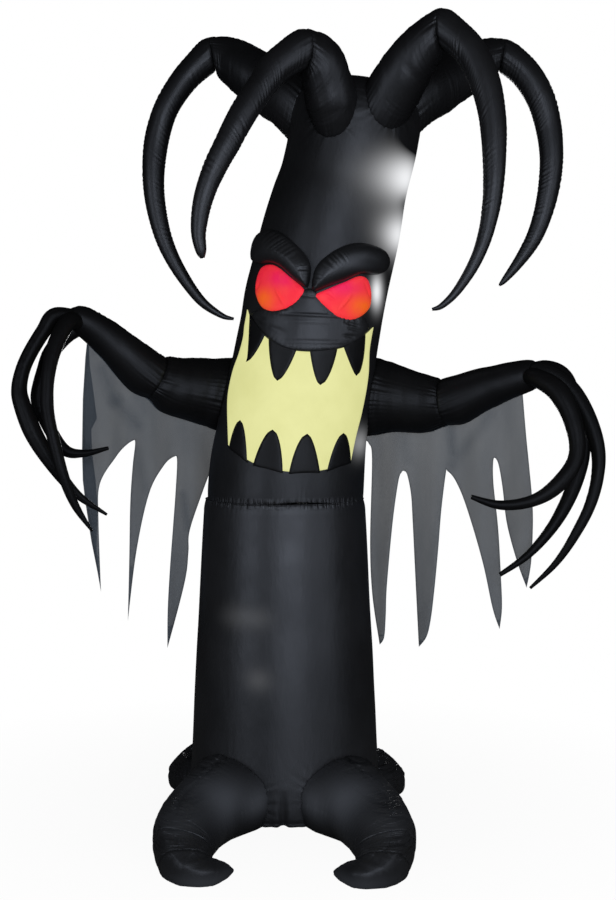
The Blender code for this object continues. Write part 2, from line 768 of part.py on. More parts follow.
def cloth_grid(points, pitch):
    """A flat cut piece with a grid of points across it so that it can bend: its points, and its triangles."""
    inside = []
    across = [x for x, _ in points]
    upright = [z for _, z in points]
    columns = range(math.ceil(min(across) / pitch), math.ceil(max(across) / pitch))
    lines = range(math.ceil(min(upright) / pitch), math.ceil(max(upright) / pitch))
    for column in columns:
        for line in lines:
            place = (column * pitch, line * pitch)
            if is_inside(place, points) and rim_distance(place, points) > pitch / 2:
                inside.append(place)
    outline = list(range(len(points)))
    made = delaunay_2d_cdt([Vector(point) for point in (*points, *inside)], [], [outline], 1, WELD)
    return [tuple(point) for point in made[0]], made[2]


def is_inside(place, points):
    x, z = place
    crossings = 0
    for (x1, z1), (x2, z2) in zip(points, [*points[1:], points[0]]):
        if (z1 > z) != (z2 > z) and x < x1 + (z - z1) * (x2 - x1) / (z2 - z1):
            crossings += 1
    return crossings % 2 == 1


def rim_distance(place, points):
    """How far a place is from the outline."""
    here = Vector(place)
    gaps = []
    for first, second in zip(points, [*points[1:], points[0]]):
        start = Vector(first)
        run = Vector(second) - start
        share = max(0.0, min(1.0, (here - start).dot(run) / run.length_squared))
        gaps.append((here - start - run * share).length)
    return min(gaps)


def closed_sheet(name, fronts, backs, triangles, finish):
    """A solid between two layers of the same triangles."""
    count = len(fronts)
    faces = [tuple(face) for face in triangles]
    sides = {}
    for face in faces:
        for first, second in zip(face, (*face[1:], face[0])):
            key = frozenset((first, second))
            sides[key] = None if key in sides else (first, second)
    walls = [(b, a, a + count, b + count) for a, b in filter(None, sides.values())]
    backs_of = [tuple(corner + count for corner in reversed(face)) for face in faces]
    mesh = bpy.data.meshes.new(name)
    mesh.from_pydata([*fronts, *backs], [], [*faces, *backs_of, *walls])
    made = bmesh.new()
    made.from_mesh(mesh)
    bmesh.ops.triangulate(made, faces=made.faces)
    bmesh.ops.recalc_face_normals(made, faces=made.faces)
    made.to_mesh(mesh)
    made.free()
    return placed(bpy.data.objects.new(name, mesh), parts, finish)


def trunk_centre(z):
    """Where the upper trunk's axis is at this height."""
    for lower, upper in zip(UPPER_TRUNK, UPPER_TRUNK[1:]):
        if z <= upper[2]:
            return lower[0] + (upper[0] - lower[0]) * (z - lower[2]) / (upper[2] - lower[2])
    return UPPER_TRUNK[-1][0]


def puffed_panel(name, points, crown, finish, skin, trunk):
    """A panel sewn down at its rim and blown out between, on the trunk's front."""
    flat, triangles = cloth_grid(points, PATCH_GRID)
    depths = [rim_distance(place, points) for place in flat]
    fronts = []
    backs = []
    for (x, z), depth in zip(flat, depths):
        hit = skin.ray_cast(Vector((x, -PRISM_DEPTH, z)), Vector((0, 1, 0)))[0]
        out = (hit - Vector((trunk_centre(z), 0, z))).normalized()
        share = depth / max(depths)
        rise = PATCH_RIM + crown * math.sqrt(1 - (1 - share) ** 2)
        fronts.append(hit + out * rise)
        backs.append(hit - out * PATCH_SINK)
    cut(closed_sheet(name, fronts, backs, triangles, finish), trunk)


def add_face(inner, trunk_mesh):
    corners = [vert.co for vert in trunk_mesh.vertices]
    skin = BVHTree.FromPolygons(corners, [face.vertices for face in trunk_mesh.polygons])
    add_mouth(inner)
    for side in ("left", "right"):
        puffed_panel(f"eye_{side}", smooth_loop(EYES[side], EYE_POINTS), EYE_CROWN, RED, skin, inner)
        puffed_panel(f"brow_{side}", smooth_loop(BROWS[side], BROW_POINTS), BROW_CROWN, BLACK, skin, inner)
    puffed_panel("muzzle", smooth_loop(MUZZLE, MUZZLE_POINTS), MUZZLE_CROWN, BLACK, skin, inner)


def hem_outline(rows):
    """The hem, smooth between its sharp points."""
    points = []
    stretch = []
    for x, z, sharp in rows:
        stretch.append((x, z))
        if sharp and len(stretch) > 1:
            points += resample(stretch, 2 * len(stretch) - 1)[:-1]
            stretch = [(x, z)]
    return [*points, stretch[-1]]


def along_arm(x, rows):
    """The arm's middle at this distance from the figure's middle: y, z."""
    ordered = sorted(rows, key=lambda row: row[0])
    for first, second in zip(ordered, ordered[1:]):
        if x <= second[0]:
            share = max(0.0, (x - first[0]) / (second[0] - first[0]))
            return Vector(first[1:3]).lerp(Vector(second[1:3]), share)
    return Vector(ordered[-1][1:3])


def add_drape(side, rooms):
    """Sheer ragged cloth sewn along the arm's underside, hanging in soft folds."""
    arm = [*ARMS[side]["upper"], *ARMS[side]["fore"][1:-1]]
    hem = hem_outline(DRAPES[side])
    if side == "right":
        hem.reverse()
    top = [(x, z) for x, _, z, _ in arm if abs(x) < abs(hem[0][0])]
    flat, triangles = cloth_grid([*hem, *top], DRAPE_GRID)
    fronts = []
    backs = []
    for x, z in flat:
        y, above = along_arm(x, arm)
        opened = min(1.0, max(0.0, above - z) / DRAPE_WAVE_DROP)
        y += DRAPE_WAVE * opened * math.sin(2 * math.pi * x / DRAPE_WAVE_PITCH)
        fronts.append(Vector((x, y - SHEER / 2, z)))
        backs.append(Vector((x, y + SHEER / 2, z)))
    cut(closed_sheet(f"drape_{side}", fronts, backs, triangles, GAUZE), *rooms)


def build():
    lower_trunk("trunk_lower", 0, parts, BLACK)
    upper = tube("trunk_upper", UPPER_TRUNK, TRUNK_SIDES, parts, BLACK)
    lower_room = lower_trunk("trunk_lower_room", SEAM_GAP, cutters)
    upper_room = tube("trunk_upper_room", grown(UPPER_TRUNK, SEAM_GAP), TRUNK_SIDES, cutters)
    clear_room = tube("trunk_clear_room", grown(UPPER_TRUNK, CLOTH_GAP), TRUNK_SIDES, cutters)
    add_horns(upper_room)
    add_face(upper_room, upper.data)
    for side in ("left", "right"):
        rooms = add_arm(side, upper_room)
        add_fingers(side, rooms[1])
        add_drape(side, [*rooms, clear_room])
    for side, mirror, front, back in FEET_PLACED:
        add_foot(f"front_{side}", FRONT_FOOT, FRONT_FOOT_SEAMS, FRONT_FOOT_PIECES, mirror, front, lower_room)
        add_foot(f"back_{side}", BACK_FOOT, BACK_FOOT_SEAMS, BACK_FOOT_PIECES, mirror, back, lower_room)


build()
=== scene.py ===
"""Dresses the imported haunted-tree yard inflatable.

It has puckered black satin tubes, a lit face and sheer ragged drapes. Metres, +Z up, in the frame of the CAD.
The figure faces -Y, and "left" is the viewer's left, -X.
"""

import math

import bpy
import numpy as np
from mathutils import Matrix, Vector
from mathutils.bvhtree import BVHTree
from mathutils.geometry import delaunay_2d_cdt


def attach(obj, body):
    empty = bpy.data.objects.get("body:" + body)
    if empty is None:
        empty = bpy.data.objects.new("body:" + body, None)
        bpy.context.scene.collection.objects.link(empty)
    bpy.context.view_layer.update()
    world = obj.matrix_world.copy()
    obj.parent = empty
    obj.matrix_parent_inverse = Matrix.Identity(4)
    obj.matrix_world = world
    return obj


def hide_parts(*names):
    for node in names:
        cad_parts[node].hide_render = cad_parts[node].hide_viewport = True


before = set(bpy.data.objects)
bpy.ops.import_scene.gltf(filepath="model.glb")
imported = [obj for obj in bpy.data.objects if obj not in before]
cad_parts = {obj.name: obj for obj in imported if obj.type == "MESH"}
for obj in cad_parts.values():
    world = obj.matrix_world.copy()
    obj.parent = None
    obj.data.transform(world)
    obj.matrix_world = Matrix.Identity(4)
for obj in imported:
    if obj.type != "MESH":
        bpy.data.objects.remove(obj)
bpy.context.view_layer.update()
BODY = "root"

# Shapes, close to those in the part's source
WAIST_Z = 1.428
SEAM = 0.0004  # half the gap between two pieces sewn together
SINK = 0.004  # how far a tube starts below the skin that it is sewn to
FLOOR_SOFT = 0.012  # how softly a foot turns flat where it meets the ground

# Columns: radius, height
LOWER_TRUNK = (
    (0.02, 1.4275), (0.2, 1.427), (0.356, 1.4268), (0.363, 1.423), (0.368, 1.411), (0.373, 1.386),
    (0.375, 1.35), (0.386, 1.155), (0.4, 0.883), (0.414, 0.657), (0.431, 0.29), (0.439, 0.15),
    (0.441, 0.06), (0.436, 0.022), (0.415, 0.002), (0.2, 0.001), (0.02, 0.001),
)
# Columns here and below: x, y, z, radius
UPPER_TRUNK = (
    (0.005, 0, WAIST_Z, 0.353), (0.005, 0, 1.446, 0.361), (0.016, 0, 1.58, 0.358), (0.04, 0, 1.75, 0.345),
    (0.067, 0, 1.915, 0.334), (0.094, 0, 2.075, 0.327), (0.119, 0, 2.21, 0.323), (0.14, 0, 2.34, 0.323),
    (0.177, 0, 2.5, 0.318), (0.215, 0, 2.654, 0.315), (0.246, 0, 2.78, 0.306), (0.277, 0, 2.9, 0.294),
    (0.315, 0, 3.07, 0.297), (0.33, 0, 3.18, 0.296), (0.341, 0, 3.26, 0.265), (0.348, 0, 3.312, 0.205),
    (0.352, 0, 3.338, 0.13), (0.353, 0, 3.347, 0.05), (0.353, 0, 3.349, 0.004),
)
# Each horn and arm has two tubes, and the second one starts where the first ends
HORNS = {
    "front_left": (
        (
            (0.24, -0.1, 3.04, 0.055), (0.226, -0.22, 3.11, 0.092), (0.212, -0.27, 3.2, 0.114),
            (0.191, -0.31, 3.284, 0.108), (0.162, -0.345, 3.362, 0.103), (0.1, -0.38, 3.414, 0.08),
        ),
        (
            (-0.02, -0.43, 3.325, 0.073), (-0.1, -0.48, 3.215, 0.061), (-0.17, -0.52, 3.1, 0.059),
            (-0.23, -0.55, 2.98, 0.055), (-0.29, -0.565, 2.86, 0.049), (-0.333, -0.575, 2.74, 0.042),
            (-0.353, -0.58, 2.61, 0.033), (-0.343, -0.58, 2.525, 0.024), (-0.335, -0.58, 2.492, 0.009),
        ),
    ),
    "front_right": (
        (
            (0.372, -0.06, 3.0, 0.082), (0.421, -0.17, 3.145, 0.116), (0.481, -0.225, 3.246, 0.122),
            (0.528, -0.27, 3.321, 0.117), (0.577, -0.31, 3.391, 0.108), (0.63, -0.35, 3.451, 0.093),
            (0.688, -0.38, 3.503, 0.074),
        ),
        (
            (0.795, -0.44, 3.395, 0.07), (0.86, -0.49, 3.25, 0.065), (0.89, -0.53, 3.09, 0.058),
            (0.895, -0.56, 2.94, 0.051), (0.89, -0.58, 2.79, 0.043), (0.868, -0.59, 2.638, 0.035),
            (0.822, -0.6, 2.495, 0.027), (0.744, -0.6, 2.362, 0.02), (0.674, -0.6, 2.292, 0.014),
            (0.632, -0.6, 2.276, 0.007),
        ),
    ),
    "back_left": (
        (
            (0.2, 0.03, 3.105, 0.142), (0.06, 0.08, 3.262, 0.152), (-0.05, 0.16, 3.326, 0.13),
            (-0.15, 0.21, 3.408, 0.122), (-0.25, 0.26, 3.484, 0.106), (-0.345, 0.28, 3.524, 0.078),
        ),
        (
            (-0.466, 0.26, 3.408, 0.066), (-0.558, 0.24, 3.265, 0.06), (-0.607, 0.23, 3.11, 0.058),
            (-0.622, 0.21, 2.94, 0.052), (-0.608, 0.2, 2.78, 0.046), (-0.566, 0.2, 2.62, 0.039),
            (-0.492, 0.2, 2.474, 0.031), (-0.396, 0.2, 2.345, 0.023), (-0.302, 0.2, 2.278, 0.014),
            (-0.243, 0.2, 2.262, 0.007),
        ),
    ),
    "back_right": (
        (
            (0.44, 0.03, 3.125, 0.132), (0.59, 0.08, 3.272, 0.14), (0.7, 0.16, 3.352, 0.142),
            (0.81, 0.21, 3.41, 0.121), (0.92, 0.26, 3.48, 0.099), (1.03, 0.28, 3.52, 0.075),
        ),
        (
            (1.133, 0.26, 3.433, 0.073), (1.206, 0.24, 3.313, 0.068), (1.245, 0.23, 3.18, 0.062),
            (1.259, 0.21, 3.04, 0.056), (1.25, 0.2, 2.9, 0.052), (1.224, 0.2, 2.77, 0.046),
            (1.175, 0.2, 2.638, 0.038), (1.1, 0.2, 2.52, 0.026), (1.04, 0.2, 2.445, 0.015),
            (1.015, 0.2, 2.42, 0.006),
        ),
    ),
}
ARMS = {
    "left": (
        (
            (-0.102, 0.12, 1.896, 0.177), (-0.264, 0.108, 1.903, 0.173), (-0.375, 0.07, 1.921, 0.157),
            (-0.486, 0.02, 1.942, 0.137), (-0.597, -0.03, 1.974, 0.114),
        ),
        (
            (-0.706, -0.075, 2.072, 0.098), (-0.815, -0.12, 2.173, 0.08), (-0.904, -0.165, 2.24, 0.066),
            (-0.944, -0.18, 2.254, 0.052), (-0.966, -0.19, 2.257, 0.03), (-0.969, -0.192, 2.259, 0.006),
        ),
    ),
    "right": (
        (
            (0.201, 0.1, 1.903, 0.187), (0.413, 0.085, 1.894, 0.181), (0.514, 0.055, 1.884, 0.159),
            (0.625, 0.015, 1.869, 0.136), (0.736, -0.03, 1.858, 0.116),
        ),
        (
            (0.878, -0.08, 1.921, 0.101), (1.009, -0.13, 1.967, 0.084), (1.1, -0.16, 1.994, 0.073),
            (1.141, -0.175, 2.0, 0.059), (1.166, -0.185, 2.005, 0.03), (1.169, -0.187, 2.006, 0.006),
        ),
    ),
}
FINGERS = {
    "left_1": (
        (-0.916, -0.18, 2.257, 0.03), (-1.019, -0.235, 2.262, 0.036), (-1.067, -0.26, 2.193, 0.034),
        (-1.121, -0.285, 2.098, 0.033), (-1.153, -0.305, 2.018, 0.033), (-1.166, -0.32, 1.937, 0.035),
        (-1.152, -0.332, 1.87, 0.038), (-1.102, -0.345, 1.745, 0.041), (-1.013, -0.35, 1.598, 0.031),
        (-0.911, -0.33, 1.469, 0.019), (-0.784, -0.31, 1.378, 0.006),
    ),
    "left_2": (
        (-0.91, -0.18, 2.222, 0.03), (-0.951, -0.26, 2.237, 0.038), (-0.997, -0.34, 2.141, 0.036),
        (-1.022, -0.4, 2.01, 0.031), (-1.022, -0.44, 1.858, 0.028), (-0.992, -0.46, 1.717, 0.027),
        (-0.956, -0.46, 1.575, 0.025), (-0.906, -0.44, 1.434, 0.018), (-0.835, -0.42, 1.317, 0.006),
    ),
    "left_3": (
        (-0.915, -0.15, 2.212, 0.034), (-0.98, -0.16, 2.178, 0.038), (-1.045, -0.175, 2.102, 0.037),
        (-1.078, -0.19, 2.01, 0.036), (-1.102, -0.21, 1.9, 0.034), (-1.07, -0.225, 1.8, 0.031),
        (-0.985, -0.25, 1.668, 0.027), (-0.894, -0.26, 1.648, 0.017), (-0.781, -0.26, 1.672, 0.008),
    ),
    "right_1": (
        (1.1, -0.18, 2.005, 0.032), (1.17, -0.23, 2.01, 0.045), (1.283, -0.27, 1.925, 0.042),
        (1.359, -0.32, 1.777, 0.037), (1.39, -0.35, 1.626, 0.031), (1.362, -0.37, 1.46, 0.026),
        (1.292, -0.37, 1.306, 0.022), (1.205, -0.35, 1.167, 0.015), (1.095, -0.33, 1.053, 0.007),
    ),
    "right_2": (
        (1.105, -0.15, 2.01, 0.035), (1.181, -0.14, 2.02, 0.045), (1.25, -0.147, 1.992, 0.048),
        (1.292, -0.152, 1.92, 0.046), (1.343, -0.17, 1.777, 0.04), (1.343, -0.19, 1.616, 0.035),
        (1.289, -0.21, 1.456, 0.033), (1.208, -0.23, 1.315, 0.026), (1.1, -0.24, 1.192, 0.018),
        (0.972, -0.24, 1.1, 0.01),
    ),
    "right_3": (
        (1.09, -0.18, 1.986, 0.033), (1.126, -0.26, 1.986, 0.041), (1.214, -0.34, 1.921, 0.047),
        (1.271, -0.39, 1.786, 0.041), (1.277, -0.43, 1.645, 0.035), (1.2, -0.46, 1.53, 0.035),
        (1.09, -0.47, 1.457, 0.027), (0.947, -0.46, 1.434, 0.021), (0.817, -0.45, 1.47, 0.01),
    ),
}
FRONT_FOOT = (
    (-0.2, -0.24, 0.09, 0.2), (-0.27, -0.4, 0.118, 0.203), (-0.331, -0.56, 0.122, 0.168),
    (-0.374, -0.72, 0.122, 0.155), (-0.398, -0.86, 0.114, 0.147), (-0.402, -0.97, 0.098, 0.128),
    (-0.384, -1.06, 0.07, 0.116), (-0.344, -1.111, 0.042, 0.104), (-0.3, -1.132, 0.034, 0.078),
    (-0.252, -1.106, 0.034, 0.054), (-0.216, -1.086, 0.032, 0.033), (-0.192, -1.07, 0.028, 0.01),
)
# Columns: place, in rows of the foot from 0; turn outwards, lean forward, in degrees
FRONT_FOOT_SEAMS = ((4.45, 32, 22), (5.1, 24, 34), (6.2, 26, 42))
FRONT_FOOT_PIECES = ("root", "gore", "band", "toe")
FRONT_RIGHT_SHIFT = (0.022, -0.024)
BACK_FOOT = (
    (-0.2, 0.08, 0.1, 0.14), (-0.3, 0.11, 0.108, 0.142), (-0.39, 0.165, 0.095, 0.132),
    (-0.445, 0.27, 0.078, 0.126), (-0.438, 0.385, 0.07, 0.104), (-0.378, 0.475, 0.052, 0.08),
    (-0.3, 0.515, 0.04, 0.045), (-0.26, 0.515, 0.04, 0.012),
)
BACK_FOOT_SEAMS = ((3.4, 0, 0),)
BACK_FOOT_PIECES = ("root", "toe")
BACK_RIGHT_SHIFT = (0.004, -0.10)

# Face, as outlines seen from the front. Columns: x, z
MOUTH_EDGES = (
    (
        (-0.16, 2.292), (-0.17, 2.23), (-0.177, 2.165), (-0.197, 2.09), (-0.227, 2.01), (-0.245, 1.92),
        (-0.247, 1.815), (-0.241, 1.684),
    ),
    (
        (-0.241, 1.684), (-0.16, 1.625), (-0.065, 1.588), (0.065, 1.57), (0.16, 1.576), (0.23, 1.59),
        (0.3, 1.612),
    ),
    (
        (0.3, 1.612), (0.325, 1.73), (0.347, 1.815), (0.366, 1.91), (0.379, 2.0), (0.382, 2.11),
        (0.398, 2.212),
    ),
    (
        (0.398, 2.212), (0.365, 2.18), (0.31, 2.138), (0.25, 2.115), (0.165, 2.102), (0.08, 2.102),
        (0.01, 2.115), (-0.06, 2.153), (-0.11, 2.203), (-0.148, 2.258), (-0.16, 2.292),
    ),
)
# Columns: left root x, z, tip x, z, right root x, z, fullness of the left side, of the right side
TEETH = {
    "upper": (
        (-0.149, 2.272, -0.162, 2.055, -0.076, 2.18, 1.0, 0.4),
        (-0.062, 2.168, -0.025, 1.972, 0.062, 2.116, 1.0, 0.4),
        (0.116, 2.112, 0.162, 1.953, 0.24, 2.125, 0.6, 0.6),
        (0.262, 2.13, 0.322, 1.993, 0.362, 2.188, 0.2, 1.0),
    ),
    "lower": (
        (-0.238, 1.67, -0.188, 1.797, -0.157, 1.61, 0.6, 0.9),
        (-0.132, 1.598, -0.046, 1.758, -0.002, 1.566, 0.5, 1.0),
        (0.024, 1.563, 0.105, 1.74, 0.161, 1.566, 0.6, 0.6),
        (0.191, 1.57, 0.265, 1.74, 0.3, 1.602, 0.5, 0.9),
    ),
}
EYES = {
    "left": (
        (-0.098, 2.46), (-0.08, 2.482), (-0.048, 2.488), (-0.015, 2.472), (0.032, 2.43), (0.092, 2.374),
        (0.08, 2.338), (0.052, 2.308), (0.008, 2.286), (-0.038, 2.278), (-0.074, 2.286), (-0.102, 2.316),
        (-0.116, 2.362), (-0.112, 2.415),
    ),
    "right": (
        (0.142, 2.35), (0.205, 2.38), (0.27, 2.408), (0.33, 2.434), (0.366, 2.424), (0.382, 2.385),
        (0.385, 2.338), (0.376, 2.295), (0.34, 2.258), (0.3, 2.24), (0.258, 2.243), (0.218, 2.262),
        (0.178, 2.296), (0.15, 2.328),
    ),
}
BROWS = {
    "left": (
        (-0.118, 2.56), (-0.106, 2.608), (-0.082, 2.64), (-0.045, 2.648), (0.005, 2.622), (0.055, 2.575),
        (0.095, 2.53), (0.12, 2.485), (0.122, 2.44), (0.108, 2.384), (0.07, 2.4), (0.035, 2.436),
        (-0.005, 2.478), (-0.045, 2.495), (-0.09, 2.494), (-0.116, 2.515),
    ),
    "right": (
        (0.133, 2.362), (0.126, 2.395), (0.136, 2.45), (0.155, 2.487), (0.19, 2.52), (0.235, 2.55),
        (0.29, 2.573), (0.345, 2.58), (0.4, 2.57), (0.435, 2.55), (0.452, 2.515), (0.448, 2.478),
        (0.425, 2.45), (0.385, 2.442), (0.335, 2.444), (0.27, 2.414), (0.205, 2.388),
    ),
}
MUZZLE = (
    (-0.136, 2.27), (-0.1, 2.204), (-0.054, 2.154), (0.012, 2.115), (0.08, 2.103), (0.165, 2.103),
    (0.248, 2.115), (0.308, 2.139), (0.356, 2.176), (0.374, 2.214), (0.345, 2.262), (0.31, 2.25),
    (0.27, 2.254), (0.232, 2.272), (0.193, 2.304), (0.16, 2.336), (0.14, 2.368), (0.116, 2.378),
    (0.09, 2.37), (0.07, 2.342), (0.042, 2.314), (0.005, 2.294), (-0.04, 2.285), (-0.085, 2.294),
)
# Creases and darts in the face's pieces. Columns: x, z at both ends, height (under 0 for a crease), width
MUZZLE_FOLDS = (
    (-0.005, 2.268, 0.245, 2.256, -0.005, 0.006), (0.01, 2.236, 0.2, 2.23, 0.0025, 0.01),
    (0.0, 2.15, 0.23, 2.144, -0.003, 0.006), (0.02, 2.132, 0.26, 2.13, -0.003, 0.005),
    (0.076, 2.348, 0.16, 2.338, -0.003, 0.005), (-0.12, 2.24, -0.086, 2.226, -0.006, 0.006),
    (-0.115, 2.258, -0.075, 2.248, -0.005, 0.005), (0.268, 2.232, 0.33, 2.212, -0.006, 0.007),
    (0.28, 2.205, 0.336, 2.192, -0.005, 0.006), (0.262, 2.172, 0.318, 2.166, -0.006, 0.007),
    (-0.06, 2.215, 0.02, 2.18, 0.003, 0.012),
)
EYE_DARTS = {
    "left": (
        (-0.118, 2.362, -0.09, 2.414, -0.008, 0.0045), (-0.024, 2.376, 0.01, 2.308, 0.0065, 0.0045),
        (0.048, 2.398, 0.072, 2.37, 0.0045, 0.004),
    ),
    "right": (
        (0.294, 2.352, 0.244, 2.288, 0.0065, 0.0045), (0.353, 2.4, 0.386, 2.326, -0.008, 0.0045),
        (0.18, 2.354, 0.217, 2.328, 0.0045, 0.004),
    ),
}

# Sheer cloth under each arm: its lower edge from -X to +X, its tips and notches sharp. Columns: x, z, sharp
DRAPES = {
    "left": (
        (-0.878, 2.2, 1), (-0.893, 2.08, 0), (-0.907, 1.89, 0), (-0.912, 1.66, 0), (-0.91, 1.52, 0),
        (-0.9, 1.42, 0), (-0.875, 1.24, 0), (-0.836, 1.01, 1), (-0.845, 1.34, 0), (-0.838, 1.5, 0),
        (-0.77, 1.62, 0), (-0.735, 1.666, 0), (-0.7, 1.693, 0), (-0.686, 1.686, 0), (-0.698, 1.58, 0),
        (-0.71, 1.41, 0), (-0.716, 1.15, 0), (-0.724, 0.862, 1), (-0.684, 1.18, 0), (-0.623, 1.45, 0),
        (-0.56, 1.576, 0), (-0.515, 1.616, 0), (-0.501, 1.6, 0), (-0.508, 1.46, 0), (-0.52, 1.3, 0),
        (-0.535, 1.1, 0), (-0.546, 0.9, 0), (-0.548, 0.722, 1), (-0.467, 1.03, 0), (-0.449, 1.17, 0),
        (-0.443, 1.27, 0), (-0.388, 1.44, 0), (-0.328, 1.612, 0), (-0.3, 1.745, 1),
    ),
    "right": (
        (0.374, 1.69, 1), (0.394, 1.675, 0), (0.41, 1.6, 0), (0.402, 1.21, 0), (0.413, 0.96, 0),
        (0.448, 0.722, 1), (0.468, 0.76, 0), (0.475, 0.86, 0), (0.48, 1.01, 0), (0.505, 1.31, 0),
        (0.53, 1.5, 0), (0.545, 1.543, 0), (0.557, 1.549, 0), (0.572, 1.53, 0), (0.59, 1.44, 0),
        (0.598, 1.32, 0), (0.612, 1.05, 0), (0.629, 0.722, 1), (0.662, 0.775, 0), (0.68, 0.86, 0),
        (0.695, 1.0, 0), (0.711, 1.19, 0), (0.725, 1.38, 0), (0.745, 1.546, 0), (0.752, 1.554, 0),
        (0.79, 1.51, 0), (0.837, 1.396, 0), (0.909, 1.14, 0), (0.956, 0.93, 0), (0.99, 0.83, 1),
        (1.0, 0.93, 0), (0.994, 1.08, 0), (0.98, 1.3, 0), (0.957, 1.5, 0), (0.955, 1.6, 0),
        (0.964, 1.618, 0), (0.981, 1.584, 0), (0.999, 1.48, 0), (1.018, 1.32, 0), (1.06, 1.15, 0),
        (1.101, 1.033, 1), (1.121, 1.15, 0), (1.128, 1.33, 0), (1.122, 1.45, 0), (1.11, 1.57, 0),
        (1.095, 1.72, 0), (1.078, 1.94, 1),
    ),
}
# Where the left sheet's outer edge is folded back on itself, from its top round: x, z
TURNED_BACK = (
    (-0.884, 2.2), (-0.898, 2.08), (-0.912, 1.89), (-0.917, 1.66), (-0.915, 1.52), (-0.905, 1.42),
    (-0.88, 1.24), (-0.836, 1.016), (-0.856, 1.2), (-0.85, 1.4), (-0.858, 1.52), (-0.874, 1.64),
    (-0.876, 1.75), (-0.85, 1.8), (-0.862, 1.9), (-0.88, 2.04),
)


def unit(vectors):
    return vectors / np.maximum(np.linalg.norm(vectors, axis=-1, keepdims=True), 1e-12)


def smooth(rows, values):
    """The rows at values counted in rows from 0, by Catmull-Rom between the given ones."""
    table = np.array(rows, float)
    last = len(table) - 1
    first = np.clip(values.astype(int), 0, last - 1)
    f = (values - first)[:, None]
    a, b, c, d = (table[np.clip(first + step, 0, last)] for step in (-1, 0, 1, 2))
    return 0.5 * (2 * b + (c - a) * f + (2 * a - 5 * b + 4 * c - d) * f**2 + (3 * b - a - 3 * c + d) * f**3)


def lengths(points):
    """How far along the line each point is."""
    steps = np.linalg.norm(np.diff(points, axis=0), axis=-1)
    return np.concatenate([np.zeros((1, *steps.shape[1:])), np.cumsum(steps, axis=0)])


STEP = 0.006  # the spacing of rows before a tube is cut to length


def rows_at(wanted, places, rows):
    """The rows' values at the wanted places, where each row has its own place."""
    return np.stack([np.interp(wanted, places, column) for column in np.array(rows, float).T], axis=1)


def even_path(rows, straight=0.0):
    """Evenly spaced rows along the line through the given ones, which is smooth, or partly straight."""
    places = np.linspace(0, len(rows) - 1, 40 * len(rows))
    direct = rows_at(places, np.arange(len(rows)), rows)
    fine = smooth(rows, places) * (1 - straight) + direct * straight
    along = lengths(fine[:, :3])
    wanted = np.linspace(0, along[-1], max(8, int(along[-1] / STEP)))
    return rows_at(wanted, along, fine)


def columns_of(path, around, front=(0, -1, 0), section=None):
    """A tube's points, in lines that run along it, untwisted. The first line is the one nearest to front.

    section gives each angle's share of the radius, where the tube isn't round."""
    centres = path[:, :3]
    ahead = unit(np.gradient(centres, axis=0))
    side = np.empty_like(ahead)
    before = np.array(front, float)
    for i, direction in enumerate(ahead):
        before = unit(before - direction * (before @ direction))
        side[i] = before
    other = np.cross(ahead, side)
    angles = np.linspace(0, 2 * math.pi, around, endpoint=False)[None, :, None]
    ring = np.cos(angles) * side[:, None] + np.sin(angles) * other[:, None]
    if section is not None:
        ring = ring * section(angles, np.linspace(0, 1, len(path))[:, None, None])
    return centres[:, None] + path[:, 3][:, None, None] * ring


def unfolded(points, rounds=80):
    """The tube's points, drawn straight where the inner side of a bend would fold over itself."""
    ahead = unit(np.diff(points.mean(axis=1), axis=0))[:, None]
    points = points.copy()
    for _ in range(rounds):
        back = (np.diff(points, axis=0) * ahead).sum(axis=2) < 0.3 * STEP
        loose = (back[:-1] | back[1:])[..., None]
        middle = 0.5 * (points[:-2] + points[2:])
        points[1:-1] = np.where(loose, middle, points[1:-1])
    return points


def cornered(top, bottom, turns):
    """A tube's section, cornered where the numbers are under 2: top for its upper half, bottom for its lower.

    The corners are turned by these degrees at the tube's start and end."""

    def section(angles, share):
        angles = angles - np.radians(turns[0] + (turns[1] - turns[0]) * share)
        up, across = np.abs(np.cos(angles)), np.abs(np.sin(angles))
        power = np.where(np.cos(angles) > 0, top, bottom)
        return (up**power + across**power) ** (-1 / power)

    return section


def skin_gap(points, trees):
    """How far each point is outside all of these skins, negative inside one."""
    gaps = np.empty(len(points))
    for i, point in enumerate(points):
        here = Vector(point)
        least = 1e9
        for tree in trees:
            near, normal, _, away = tree.find_nearest(here)
            least = min(least, math.copysign(away, (here - near).dot(normal)))
        gaps[i] = least
    return gaps


def starts_outside(points, trees, reach, sink=SINK):
    """For each line of a tube, the row where it leaves the skins it is sewn to, within reach of its start."""
    rows = min(len(points) - 1, int(reach / STEP))
    part = points[: rows + 1]
    gap = skin_gap(part.reshape(-1, 3), trees).reshape(part.shape[:2]) + sink
    return last_crossing(gap)


def last_crossing(gap):
    """The row, as a fraction, after which each column of gap stays positive."""
    inside = gap[:-1] < 0
    last = len(inside) - 1 - np.argmax(inside[::-1], axis=0)
    column = np.arange(gap.shape[1])
    before = gap[last, column]
    after = gap[last + 1, column]
    share = np.clip(before / np.minimum(before - after, -1e-9), 0, 1)
    return np.where(inside.any(axis=0), last + share, 0.0)


def plane_gap(points, point, normal):
    return (points - point) @ normal


def first_crossing(gap, start):
    """The row, as a fraction, where each column of gap first turns positive after start."""
    rows = np.arange(len(gap))[:, None]
    past = (gap > 0) & (rows > start)
    first = np.where(past.any(axis=0), np.argmax(past, axis=0), len(gap) - 1)
    first = np.maximum(first, 1)
    column = np.arange(gap.shape[1])
    before = gap[first - 1, column]
    after = gap[first, column]
    share = np.clip(-before / np.maximum(after - before, 1e-9), 0, 1)
    return np.where(past.any(axis=0), first - 1 + share, len(gap) - 1.0)


